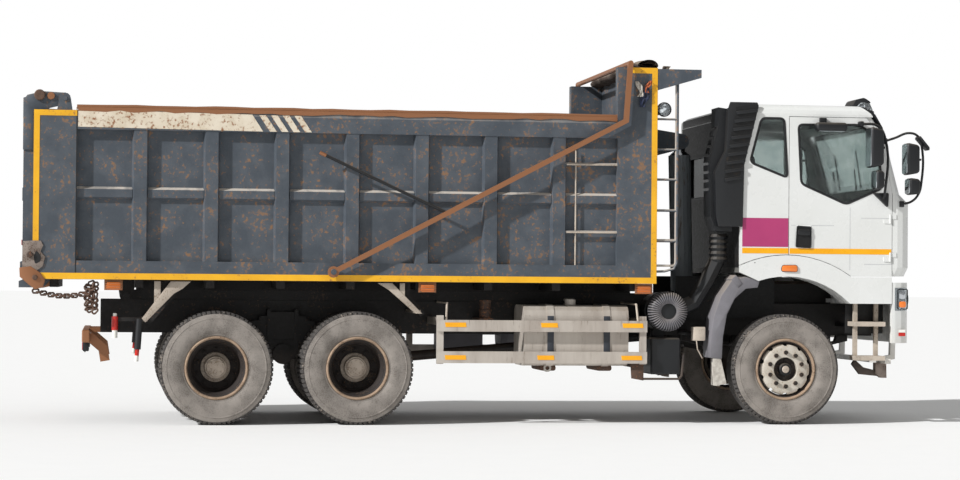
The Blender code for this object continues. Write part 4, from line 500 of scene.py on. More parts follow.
def softened(outline: list[Flat], radius: float, steps: int = 4) -> list[Flat]:
    """Rounds the corners of an outline with short chords and returns the new corners."""
    made: list[Flat] = []
    for before, here, after in zip(outline[-1:] + outline[:-1], outline, outline[1:] + outline[:1]):
        corner, back, ahead = Vector(here), Vector(before) - Vector(here), Vector(after) - Vector(here)
        reach = min(radius, back.length * 0.45, ahead.length * 0.45)
        start, end = corner + back.normalized() * reach, corner + ahead.normalized() * reach
        for step in range(steps + 1):
            t = step / steps
            made.append(tuple(start * (1 - t) ** 2 + corner * (2 * t * (1 - t)) + end * t * t))
    return made


def tube(points: list[Point], radius: float, sides: int = 10, smooth: bool = False) -> Thing:
    """Bends a round bar along points.

    Args:
        points: its middle line.
        radius: of the bar.
        sides: of its section.
        smooth: whether it runs in a curve through the points.

    Returns:
        The bar as a mesh.
    """
    data = bpy.data.curves.new("bar", "CURVE")
    data.dimensions = "3D"
    spline = data.splines.new("BEZIER" if smooth else "POLY")
    if smooth:
        spline.bezier_points.add(len(points) - 1)
        for knot, point in zip(spline.bezier_points, points):
            knot.co, knot.handle_left_type, knot.handle_right_type = point, "AUTO", "AUTO"
    else:
        spline.points.add(len(points) - 1)
        for knot, point in zip(spline.points, points):
            knot.co = (*point, 1.0)
    data.bevel_depth, data.bevel_resolution, data.use_fill_caps = radius, max(sides // 2 - 2, 0), True
    data.resolution_u = 6
    piece = bpy.data.objects.new("bar", data)
    bpy.context.scene.collection.objects.link(piece)
    pick(piece)
    bpy.ops.object.convert(target="MESH")
    return bpy.context.object


def lathe(profile: list[Flat], steps: int = 48, centre: Point = (0.0, 0.0, 0.0), axis: int = 1) -> Thing:
    """Spins a closed outline of (radius, place along the axis) round the axis.

    Args:
        profile: the outline's corners.
        steps: round the circle.
        centre: where the axis stands.
        axis: 0, 1 or 2 for X, Y or Z.

    Returns:
        The turned piece.
    """
    bpy.ops.mesh.primitive_circle_add(vertices=len(profile), fill_type="NOTHING")
    piece = bpy.context.object
    for vertex, (radius, along) in zip(piece.data.vertices, profile):
        vertex.co = (radius, along, 0.0)
    edited(
        piece,
        lambda: bpy.ops.mesh.spin(steps=steps, angle=math.tau, center=(0, 0, 0), axis=(0, 1, 0)),
        lambda: bpy.ops.mesh.select_all(action="SELECT"),
        lambda: bpy.ops.mesh.remove_doubles(threshold=0.00005),
        lambda: bpy.ops.mesh.dissolve_degenerate(threshold=0.00005),
        outwards,
    )
    if axis == 0:
        piece.data.transform(Matrix.Rotation(-math.pi / 2, 4, "Z"))
    elif axis == 2:
        piece.data.transform(Matrix.Rotation(math.pi / 2, 4, "X"))
    piece.data.transform(Matrix.Translation(centre))
    return piece


def copied(piece: Thing, place: Matrix) -> Thing:
    """Copies a piece with a mesh of its own, moved by a matrix, and returns the copy."""
    twin = piece.copy()
    twin.data = piece.data.copy()
    bpy.context.scene.collection.objects.link(twin)
    twin.data.transform(place)
    if place.determinant() < 0:
        edited(twin, outwards)
    return twin


def around(piece: Thing, count: int, centre: Point = (0.0, 0.0, 0.0)) -> list[Thing]:
    """Repeats a piece round an axis along Y and returns all of them."""
    middle = Matrix.Translation(centre)
    turns = [middle @ Matrix.Rotation(math.tau * i / count, 4, "Y") @ middle.inverted() for i in range(1, count)]
    return [piece] + [copied(piece, turn) for turn in turns]


def mirrored(pieces: list[Thing]) -> list[Thing]:
    """Copies pieces to the other side of the truck and returns the copies."""
    return [copied(piece, MIRROR_Y) for piece in pieces]


def painted(finish: Finish | Glass, *pieces: Thing) -> list[Thing]:
    """Gives pieces a finish and returns them as a list."""
    for piece in pieces:
        piece.data.materials.clear()
        piece.data.materials.append(finish.material())
    return list(pieces)


def dressed(*groups: tuple) -> list[bpy.types.Object]:
    """Gives the pieces of each group the finish that leads the group, and returns all pieces."""
    return [piece for finish, *pieces in groups for piece in painted(finish, *pieces)]


def fitted(name: str, body: str, parts: list[Thing], replaces: tuple[str, ...] = (), angle: float = 0.6) -> Thing:
    """Joins parts into one piece, brings it to the model's own origin and hangs it on its body.

    Args:
        name: of the piece.
        body: that it moves with.
        parts: the finished parts, in sizes from the middle axle.
        replaces: solids that the piece stands for.
        angle: above which an edge stays sharp.

    Returns:
        The piece.
    """
    pick(*parts)
    if len(parts) > 1:
        bpy.ops.object.join()
    piece = bpy.context.view_layer.objects.active
    piece.name = piece.data.name = name
    piece.location.x += SHIFT_X
    bpy.ops.object.transform_apply(location=True, rotation=True, scale=True)
    bpy.ops.object.shade_smooth_by_angle(angle=angle)
    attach(piece, body)
    if replaces:
        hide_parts(*replaces)
    REPORT.info("%s on %s: %d faces", name, body, len(piece.data.polygons))
    return piece


def pair(name: str, body: str, parts: list[Thing], replaced: str = "") -> None:
    """Fits parts on the right side and their mirror image on the left, as two pieces.

    Args:
        name: of both pieces, before the side's name.
        body: that they move with, where {side} stands for the side's name.
        parts: of the right side.
        replaced: solids that the pieces stand for, before the side's name.
    """
    for side, half in (("right", parts), ("left", mirrored(parts))):
        fitted(f"{name}_{side}", body.format(side=side), half, (f"{replaced}_{side}",) if replaced else ())


def bolt(radius: float, height: float, place: Point, outward: float = -1.0) -> Thing:
    """Makes a hexagon nut with its stud's end, its axis along Y.

    Args:
        radius: across its corners.
        height: of the nut.
        place: middle of its seat.
        outward: the sign of Y that it points to.

    Returns:
        The nut.
    """
    bpy.ops.mesh.primitive_cylinder_add(vertices=6, radius=radius, depth=height, rotation=(math.pi / 2, 0, 0))
    nut = bpy.context.object
    bpy.ops.object.transform_apply(location=True, rotation=True, scale=True)
    nut.data.transform(Matrix.Translation((0, outward * height / 2, 0)))
    stud = lathe([
        (0.0, 0.0), (radius * 0.5, 0.0), (radius * 0.5, outward * height * 1.35), (radius * 0.4, outward * height * 1.5),
        (0.0, outward * height * 1.5),
    ], 8)
    rounded(nut, radius * 0.1, 1)
    pick(nut, stud)
    bpy.ops.object.join()
    nut.data.transform(Matrix.Translation(place))
    return nut


@dataclass
class Wheels:
    """Tyres with their rims, discs, nuts and hubs, in place of the six plain wheels."""

    steps: int = 216
    groove: float = 0.014
    front_y: float = 1.09
    twin_y: float = 0.915
    plane: float = 0.175  # from a twin's middle to each tyre's plane
    nuts: int = 10
    nut_circle: float = 0.1675
    wall: tuple[Flat, ...] = (
        (0.298, 0.108), (0.303, 0.121), (0.315, 0.129), (0.322, 0.128), (0.345, 0.1425), (0.38, 0.149), (0.404, 0.1505),
        (0.438, 0.1485), (0.466, 0.1455), (0.47, 0.1475), (0.476, 0.1475), (0.479, 0.1435), (0.498, 0.1395), (0.515, 0.135),
        (0.519, 0.1365), (0.527, 0.1345), (0.538, 0.124), (0.5435, 0.104),
    )  # radius and distance from the tyre's plane, bead to shoulder
    tread: tuple[Flat, ...] = (
        (0.5445, 0.072), (0.534, 0.07), (0.534, 0.062), (0.545, 0.06), (0.545, 0.028), (0.534, 0.026), (0.534, 0.018), (0.545, 0.016),
    )  # shoulder rib to the middle
    tread_from: float = 0.512  # radius where the wall's rubber ends
    groove_from: float = 0.52  # radius beyond which the cross grooves are cut
    shoulder: float = 0.09  # distance from the plane where a rolling tyre's cross grooves begin
    dark_inside: float = 0.27  # radius below which a rim is painted dark: grime, and shade in its well

    def tyre(self, block_tread: bool) -> list[Thing]:
        """Makes one tyre about the origin, its axis along Y.

        Args:
            block_tread: whether cross grooves cut the whole tread, as on a driven axle.

        Returns:
            The tyre in its two rubbers.
        """
        half = [*self.wall, *self.tread]
        tyre = lathe(half + [(r, -y) for r, y in reversed(half)] + [(self.wall[0][0], 0.0)], self.steps)
        start = 0.0 if block_tread else self.shoulder
        pick(tyre)
        for face in tyre.data.polygons:
            middle = face.center
            radius = math.hypot(middle.x, middle.z)
            turn = int(((math.atan2(middle.z, middle.x) + math.tau) % math.tau) / math.tau * self.steps)
            face.select = radius > self.groove_from and start <= abs(middle.y) and turn % 3 == 0
        for vertex in tyre.data.vertices:
            vertex.select = False
        for edge in tyre.data.edges:
            edge.select = False
        bpy.ops.object.mode_set(mode="EDIT")
        bpy.ops.mesh.select_mode(type="FACE")
        bpy.ops.mesh.extrude_region_shrink_fatten(TRANSFORM_OT_shrink_fatten={"value": -self.groove * 0.8})
        bpy.ops.mesh.select_mode(type="VERT")
        bpy.ops.object.mode_set(mode="OBJECT")
        painted(TYRE_WALL, tyre)
        tyre.data.materials.append(TYRE_TREAD.material())
        for face in tyre.data.polygons:
            if math.hypot(face.center.x, face.center.z) > self.tread_from:
                face.material_index = 1
        return [tyre]

    def rim(self, finish: Finish) -> list[Thing]:
        """Makes the rim ring of one tyre, dark with grime and painted shade in its well, and returns it."""
        profile = [
            (0.304, 0.122), (0.3, 0.133), (0.291, 0.137), (0.283, 0.133), (0.281, 0.124), (0.277, 0.104), (0.262, 0.092), (0.256, 0.066),
        ]
        back = [(0.266, 0.062), (0.272, 0.086), (0.296, 0.1)]
        outline = profile + [(r, -y) for r, y in reversed(profile)] + [(r, -y) for r, y in back[::-1]] + back
        ring = lathe(outline, 72)
        painted(finish, ring)
        # Faces inside dark_inside get the dark colour that paints grime and shade in the well.
        ring.data.materials.append(RIM_GRIME_AND_SHADE.material())
        for face in ring.data.polygons:
            if math.hypot(face.center.x, face.center.z) < self.dark_inside:
                face.material_index = 1
        return [ring]

    def front(self) -> list[Thing]:
        """Makes the right front wheel about the origin with its outer side at negative Y, and returns its parts."""
        parts = self.tyre(False) + self.rim(RIM_TAN)
        face = [
            (0.118, 0.07), (0.118, 0.119), (0.122, 0.123), (0.206, 0.125), (0.232, 0.118), (0.246, 0.106), (0.251, 0.092), (0.252, 0.06),
        ]
        back = [(0.242, 0.06), (0.24, 0.09), (0.228, 0.106), (0.205, 0.113), (0.13, 0.113), (0.128, 0.07)]
        disc = lathe([(r, -y) for r, y in face + back], 80)
        hole = lathe(rectangle(0.0, 0.05, 0.022, -0.05), 16)
        hole.data.transform(Matrix.Translation((0.0, -0.098, 0.25)) @ Matrix.Diagonal((1.1, 1, 0.9, 1)))
        holes = around(hole, self.nuts)
        pick(*holes)
        bpy.ops.object.join()
        cutter = bpy.context.object
        add_modifier(disc, "BOOLEAN", operation="DIFFERENCE", solver="EXACT", object=cutter)
        bpy.data.objects.remove(cutter)
        parts += dressed(
            (RIM_WHITE, disc), (BLACK_AND_SHADE, lathe([(0.0, -0.128), (0.052, -0.127), (0.062, -0.118), (0.066, -0.066), (0.0, -0.066)], 32)),
            (HUB_GREY, lathe([(0.0, -0.137), (0.031, -0.136), (0.036, -0.13), (0.036, -0.12), (0.0, -0.12)], 28)),
            # A dark body behind the disc, seen through its holes and notches: painted shade, with grime.
            (RIM_GRIME_AND_SHADE, lathe(
                [(0.0, -0.072), (0.119, -0.072), (0.119, -0.06), (0.205, 0.0), (0.205, 0.105), (0.0, 0.105)], 40,
            ), *around(bolt(0.009, 0.008, (0.0, -0.072, 0.092)), 6)),
        )
        nut = bolt(0.022, 0.026, (0.0, -0.124, self.nut_circle))
        collar = lathe([(0.0, -0.122), (0.0255, -0.122), (0.0245, -0.129), (0.0, -0.131)], 14, (0.0, 0.0, self.nut_circle))
        return parts + painted(NUT_GREY, *around(nut, self.nuts)) + painted(HUB_GREY, *around(collar, self.nuts))

    def twin(self) -> list[Thing]:
        """Makes the right twin wheel about the origin with its outer side at negative Y, and returns its parts."""
        one = self.tyre(True)
        parts = [copied(piece, Matrix.Translation((0, y, 0))) for piece in one for y in (-self.plane, self.plane)]
        outer_rim = self.rim(RIM_TAN)[0]
        parts += [copied(outer_rim, Matrix.Translation((0, -self.plane, 0)))]
        # The inner tyre's rim is dark all over: grime and painted shade between the twins.
        parts += painted(RIM_GRIME_AND_SHADE, copied(outer_rim, Matrix.Translation((0, self.plane, 0))))
        for piece in (*one, outer_rim):
            bpy.data.objects.remove(piece)
        dish = [(0.06, 0.008), (0.06, 0.024), (0.205, 0.026), (0.222, 0.04), (0.232, 0.11), (0.24, 0.2), (0.257, 0.226)]
        behind = [(0.264, 0.214), (0.25, 0.196), (0.243, 0.11), (0.232, 0.03), (0.212, 0.008)]
        flange = [
            (0.06, -0.02), (0.143, -0.022), (0.143, -0.046), (0.138, -0.051), (0.112, -0.054), (0.11, -0.12), (0.104, -0.132),
            (0.092, -0.136),
        ]
        parts += dressed(
            # The dishes deep inside the twin rims are dark: grime and painted shade.
            (
                RIM_GRIME_AND_SHADE, lathe([(r, -y) for r, y in dish + behind], 64), lathe([(r, y) for r, y in dish + behind], 64),
                lathe([(0.06, 0.0), (0.205, 0.02), (0.205, 0.3), (0.2, 0.306), (0.072, 0.306), (0.072, 0.04), (0.06, 0.03)], 40),
            ),
            (
                HUB_GREY, lathe([*flange, (0.086, -0.149), (0.03, -0.151), (0.0, -0.151), (0.0, -0.03)], 48),
                *around(bolt(0.01, 0.009, (0.0, -0.15, 0.066)), 8), *around(bolt(0.0095, 0.01, (0.0, -0.051, 0.128)), 20),
            ),
        )
        nut = bolt(0.0185, 0.026, (0.0, -0.028, 0.176))
        # Their nuts share the dish's dark colour of grime and painted shade.
        return parts + painted(RIM_GRIME_AND_SHADE, *around(nut, self.nuts))

    def build(self) -> None:
        """Makes both kinds of wheel once and copies them to their six places."""
        for kind, places in ((self.front, ("front",)), (self.twin, ("rear", "middle"))):
            parts = kind()
            pick(*parts)
            bpy.ops.object.join()
            model = bpy.context.object
            for place in places:
                x = {"front": AXLES[2], "middle": AXLES[1], "rear": AXLES[0]}[place]
                y = self.front_y if place == "front" else self.twin_y
                for side, sign in SIDES:
                    node = f"wheel_front_{side}" if place == "front" else f"wheels_{place}_{side}"
                    flip = Matrix() if sign < 0 else MIRROR_Y
                    piece = copied(model, Matrix.Translation((x, sign * y, HUB_HEIGHT)) @ flip)
                    fitted(f"tyres_{place}_{side}", f"{place}_spin_{side}", [piece], (node,), 0.5)
            bpy.data.objects.remove(model)


@dataclass
class Bed:
    """The tipping bed's stripes, rusted rail, ladders, lamps, hooks and chain, and what hangs at its front."""

    rear: float = -3.087
    front: float = 2.929
    rail_top: float = 3.01
    stripe: float = 0.0022  # coat thickness drawn as thick as it needs to show

    def stripes(self) -> None:
        """Paints the yellow edging and the cream band on both sides."""
        face, out = SIDE_FACE + 0.0004, SIDE_FACE + 0.0004 + self.stripe
        yellow = [
            block((self.rear + 0.06, -out, 1.382), (self.front - 0.002, -face, 1.441), 0.0),
            block((self.front - 0.058, -out, 1.441), (self.front - 0.002, -face, 3.498), 0.0),
            block((self.front - 0.3, -out, 3.442), (self.front - 0.058, -face, 3.498), 0.0),
            block((-3.085, -out, 1.64), (-3.03, -face, 2.978), 0.0),
            block((-3.03, -out, 2.924), (-2.684, -face, 2.978), 0.0),
        ]
        band = [(-2.674, 2.822), (-0.93, 2.806), (-1.035, 2.966), (-2.674, 2.985)]
        cream = [slab(band, -out, -face)]
        for i in range(4):
            left = -0.97 + 0.112 * i
            cream.append(slab([(left + 0.105, 2.806), (left + 0.17, 2.806), (left + 0.065, 2.962), (left, 2.962)], -out, -face))
        for name, finish, parts in (("edging", BED_YELLOW, yellow), ("band", CREAM, cream)):
            painted(finish, *parts)
            pair(f"bed_{name}", "bed", parts)

    def rail_caps(self) -> None:
        """Lays the rusted round bar, dented by loading, along both top rails."""
        dice = random.Random(4)
        knots = [(
            self.rear + 0.4 + i * 0.186, -1.206 + dice.uniform(-0.003, 0.003), self.rail_top + 0.004 + dice.uniform(-0.006, 0.003),
        ) for i in range(31)]
        knots[-1] = (2.528, knots[-1][1], knots[-1][2])
        bar = tube(knots, 0.026, 12)
        dice = random.Random(9)
        ragged = [(-2.675 + 0.13 * i, 2.974 + dice.uniform(-0.012, 0.01)) for i in range(41)]
        scale = slab([*ragged, (2.525, 3.0085), (-2.675, 3.0085)], -(SIDE_FACE + 0.0035), -(SIDE_FACE + 0.0004))
        pair("rail_cap", "bed", painted(RUST, bar, scale))

    def ladders(self) -> None:
        """Hangs the rungs on the bed's side and the ladder in front of the headboard."""
        side = [
            tube([(2.122, -1.215, 1.558), (2.122, -1.215, 2.676)], 0.008),
            tube([(2.033, -1.19, 2.54), (2.033, -1.238, 2.54), (2.53, -1.238, 2.54), (2.53, -1.19, 2.54)], 0.009),
            tube([(2.033, -1.19, 1.878), (2.033, -1.238, 1.878), (2.53, -1.238, 1.878), (2.53, -1.19, 1.878)], 0.009),
        ]
        front = [tube([(2.925, -1.2, z), (3.129, -1.2, z)], 0.011) for z in (2.701, 2.407, 2.104, 1.811)]
        front.append(
            tube([(2.925, -1.2, 1.56), (3.1, -1.2, 1.56), (3.121, -1.2, 1.568), (3.129, -1.2, 1.59), (3.129, -1.2, 3.455)], 0.012)
        )
        painted(ALUMINIUM, *front)
        painted(STEP_METAL, *side)
        fitted("ladder_side", "bed", side)
        fitted("ladder_front", "bed", front)

    def marker_lamps(self) -> None:
        """Hangs three caged amber lamps under each sill."""
        parts = []
        for x in (-2.329, 0.67, 2.809):
            parts += dressed(
                (LAMP_AMBER, slab(softened(rectangle(x - 0.066, 1.288, x + 0.066, 1.352), 0.012), -1.238, -1.214, bevel=0.004)),
                (RUST, block((x - 0.086, -1.214, 1.28), (x + 0.086, -1.196, 1.379)), *[tube(
                    [(x - 0.08, -1.205, z), (x - 0.08, -1.246, z), (x + 0.08, -1.246, z), (x + 0.08, -1.205, z)], 0.0035, 6,
                ) for z in (1.296, 1.319, 1.342)])
            )
        pair("marker_lamps", "bed", parts)

    def chain(self) -> None:
        """Hangs the tailgate chain from its hook, with its slack bundled beside it."""
        link = tube([
            (-0.019, 0, -0.006), (-0.013, 0, -0.012), (0.013, 0, -0.012), (0.019, 0, -0.006), (0.019, 0, 0.006), (0.013, 0, 0.012),
            (-0.013, 0, 0.012), (-0.019, 0, 0.006), (-0.019, 0, -0.006),
        ], 0.0062, 8)
        link.data.transform(Matrix.Scale(1.5, 4))
        parts = []
        route = [(-3.053 + 0.036 * i, 1.266 - 0.045 * math.sin(math.pi * i / 15)) for i in range(16)]
        for i, (x, z) in enumerate(route[:15]):
            parts.append(copied(link, Matrix.Translation((x, -1.205, z)) @ Matrix.Rotation(math.pi / 2 * (i % 2), 4, "X")))
        dice = random.Random(11)
        for i in range(26):
            turn = Matrix.Rotation(dice.uniform(0, math.tau), 4, Vector((dice.uniform(-1, 1), dice.uniform(-1, 1), dice.uniform(-1, 1))))
            x = -2.535 + 0.04 * math.sin(i * 1.3)
            parts.append(copied(link, Matrix.Translation((x, -1.2 + 0.022 * math.cos(i * 1.9), 1.345 - 0.0105 * i)) @ turn))
        bpy.data.objects.remove(link)
        fitted("tailgate_chain", "bed", painted(DARK_RUST, *parts))

    def front_lamp(self) -> None:
        """Fits the ringed work lamp on the headboard's right corner."""
        ring = [lathe(rectangle(0.062, -0.012, 0.072, 0.012), 24, (3.004, -1.205, 3.095))]
        ring.append(tube([(2.927, -1.205, 3.04), (2.96, -1.205, 3.055)], 0.01))
        lens = lathe([(0.0, -0.03), (0.04, -0.026), (0.06, -0.012), (0.06, 0.014), (0.03, 0.04), (0.0, 0.044)], 24, (3.004, -1.205, 3.095))
        parts = dressed((BLACK_PLASTIC, *ring), (LAMP_CLEAR, lens))
        fitted("headboard_lamp", "bed", parts)

    def tailgate_fittings(self) -> None:
        """Puts two red and two white reflectors on the tailgate's rear."""
        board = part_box("tailgate")[0][0] - SHIFT_X
        parts = []
        for finish, start, end in ((REFLECT_RED, 0.82, 1.12), (REFLECT_WHITE, 0.5, 0.8)):
            for low, high in ((-end, -start), (start, end)):
                parts += painted(finish, block((board - 0.006, low, 1.7), (board - 0.0005, high, 1.75), 0.0015))
        fitted("tailgate_reflectors", "gate", parts)

    def corner_ironwork(self) -> None:
        """Covers the tailgate arms, their pins and the lower hooks with rusted plates and bosses."""
        arm = [
            (-3.186, 2.6), (-3.09, 2.6), (-3.09, 2.96), (-2.835, 3.022), (-2.76, 3.06), (-2.752, 3.11), (-2.8, 3.143), (-3.01, 3.153),
            (-3.15, 3.118), (-3.186, 3.07),
        ]
        gate = dressed(
            (BED_PAINT, slab(arm, -1.2065, -1.1955, bevel=0.002)),
            (DARK_RUST, lathe(
                [(0.0, 0.0), (0.052, 0.0), (0.052, -0.022), (0.044, -0.03), (0.02, -0.031), (0.0, -0.026)], 20, (-3.035, -1.206, 3.118),
            )),
            (RUST, lathe([(0.0, 0.0), (0.036, 0.0), (0.034, -0.016), (0.0, -0.018)], 18, (-2.93, -1.206, 3.112))),
        )
        pair("tailgate_arm_plate", "gate", gate)
        hook = [
            (-3.18, 1.47), (-3.05, 1.455), (-2.99, 1.5), (-2.965, 1.59), (-3.01, 1.64), (-2.985, 1.7), (-3.01, 1.742), (-3.086, 1.742),
            (-3.176, 1.735),
        ]
        jaw = [(-3.205, 1.486), (-3.1, 1.5), (-3.01, 1.44), (-2.965, 1.37), (-2.985, 1.3), (-3.06, 1.284), (-3.12, 1.33), (-3.2, 1.4)]
        parts = dressed(
            (WEATHERED, slab(hook, -SIDE_FACE - 0.012, -SIDE_FACE - 0.0006, bevel=0.002)),
            (RUST, slab(jaw, -SIDE_FACE - 0.02, -SIDE_FACE - 0.002, bevel=0.005)),
            (
                DARK_RUST,
                lathe([(0.0, 0.0), (0.03, 0.0), (0.03, -0.018), (0.022, -0.024), (0.0, -0.024)], 16, (-3.11, -SIDE_FACE - 0.012, 1.61)),
                lathe([(0.0, 0.0), (0.026, 0.0), (0.026, -0.016), (0.018, -0.022), (0.0, -0.022)], 16, (-3.06, -SIDE_FACE - 0.018, 1.395)),
            ),
            (RUBBER_SEAL, slab(
                softened([(-3.06, 1.52), (-3.01, 1.545), (-3.005, 1.6), (-3.05, 1.65), (-3.075, 1.59)], 0.02), -SIDE_FACE - 0.0135,
                -SIDE_FACE - 0.011,
            ), block((-2.69, -SIDE_FACE - 0.0012, 1.384), (-2.68, -SIDE_FACE - 0.0003, 2.98), 0.0)),
        )
        pair("hook_plate", "bed", parts)

    def build(self) -> None:
        """Builds every fitting of the bed."""
        self.corner_ironwork()
        self.stripes()
        self.rail_caps()
        self.ladders()
        self.marker_lamps()
        self.chain()
        self.front_lamp()
        self.tailgate_fittings()


@dataclass
class Tarpaulin:
    """The load cover, gathered behind the cab, the rags tied to the corner and the bow's painted pole."""

    width: float = 2.36
    centre: Flat = (2.85, 3.545)
    half_depth: float = 0.104
    half_height: float = 0.05
    turns: int = 11
    pitch: float = 0.0035

    def roll(self) -> tuple[Thing, float]:
        """Winds the cover into a flat, lumpy roll across the headboard's top.

        Returns:
            The cover, and the length that it has when unrolled.
        """
        rings, sides = 64, 30
        bpy.ops.mesh.primitive_grid_add(x_subdivisions=sides * self.turns, y_subdivisions=rings, size=1.0)
        piece = bpy.context.object
        length, last = 0.0, None
        for vertex in piece.data.vertices:
            u, along = vertex.co.x + 0.5, vertex.co.y
            turn, inward = u * self.turns * math.tau - 0.6, self.pitch * self.turns * (1.0 - u)
            lump = 1.0 + 0.07 * math.sin(along * 31 + 1.6 * math.sin(turn)) + 0.05 * math.sin(turn * 3 + along * 17)
            droop = 0.008 * math.sin(along * 23) ** 2
            depth, height = (self.half_depth - inward) * lump, (self.half_height - inward) * lump
            vertex.co = (self.centre[0] + depth * math.cos(turn), along * self.width, self.centre[1] - droop + height * math.sin(turn))
            if along == -0.5:
                length, last = length + ((vertex.co - last).length if last else 0.0), vertex.co.copy()
        return piece, length

    def rag(self, centre: Point, size: Flat, seed: int) -> Thing:
        """Hangs a crumpled strip of cloth in the side plane.

        Args:
            centre: of the strip's top edge.
            size: its width along X and its drop.
            seed: of its folds.

        Returns:
            The strip.
        """
        bpy.ops.mesh.primitive_grid_add(x_subdivisions=16, y_subdivisions=28, size=1.0)
        piece = bpy.context.object
        for vertex in piece.data.vertices:
            u, v = vertex.co.x, 0.5 - vertex.co.y
            fold = 0.005 * math.sin(u * 13 + seed + 2.5 * math.sin(v * 5 + seed)) + 0.005 * math.sin(v * 13 + seed * 2 + u * 6)
            pinch = 0.55 + 0.45 * math.cos(v * 4.2 + seed) ** 2
            vertex.co = (
                centre[0] + u * size[0] * pinch + 0.022 * math.sin(v * 4 + seed), centre[1] - 0.014 + fold, centre[2] - v * size[1],
            )
        add_modifier(piece, "SOLIDIFY", thickness=0.0022, offset=0.0)
        return piece

    def build(self) -> None:
        """Builds the cover, the rags and the bow's poles."""
        cover, length = self.roll()
        roll = fitted("load_cover_roll", "bed", painted(TARPAULIN, cover), angle=1.2)
        tail = painted(TARPAULIN, self.rag((3.02, -1.215, 3.52), (0.075, 0.165), 3))
        tail = fitted("load_cover_tail", "bed", tail, angle=1.2)
        for name, finish, centre, size, seed in (
            ("rag_dark", RAG_CLOTH, (2.79, -1.262, 3.3), (0.095, 0.19), 1),
            ("rag_pale", RAG_PALE, (2.735, -1.268, 3.36), (0.06, 0.15), 5),
            ("rag_orange", RAG_ORANGE, (2.83, -1.264, 3.37), (0.05, 0.12), 8),
        ):
            piece = fitted(name, "bed", painted(finish, self.rag(centre, size, seed)), angle=1.2)
        sleeve = dressed(
            (BLACK_PLASTIC, tube([(-0.378, -1.305, 2.606), (0.845, -1.305, 2.048)], 0.0155, 12)),
            (RUST, tube([(-0.392, -1.305, 2.612), (-0.33, -1.305, 2.584)], 0.018, 12)),
        )
        pair("bow_pole", "bow", sleeve)


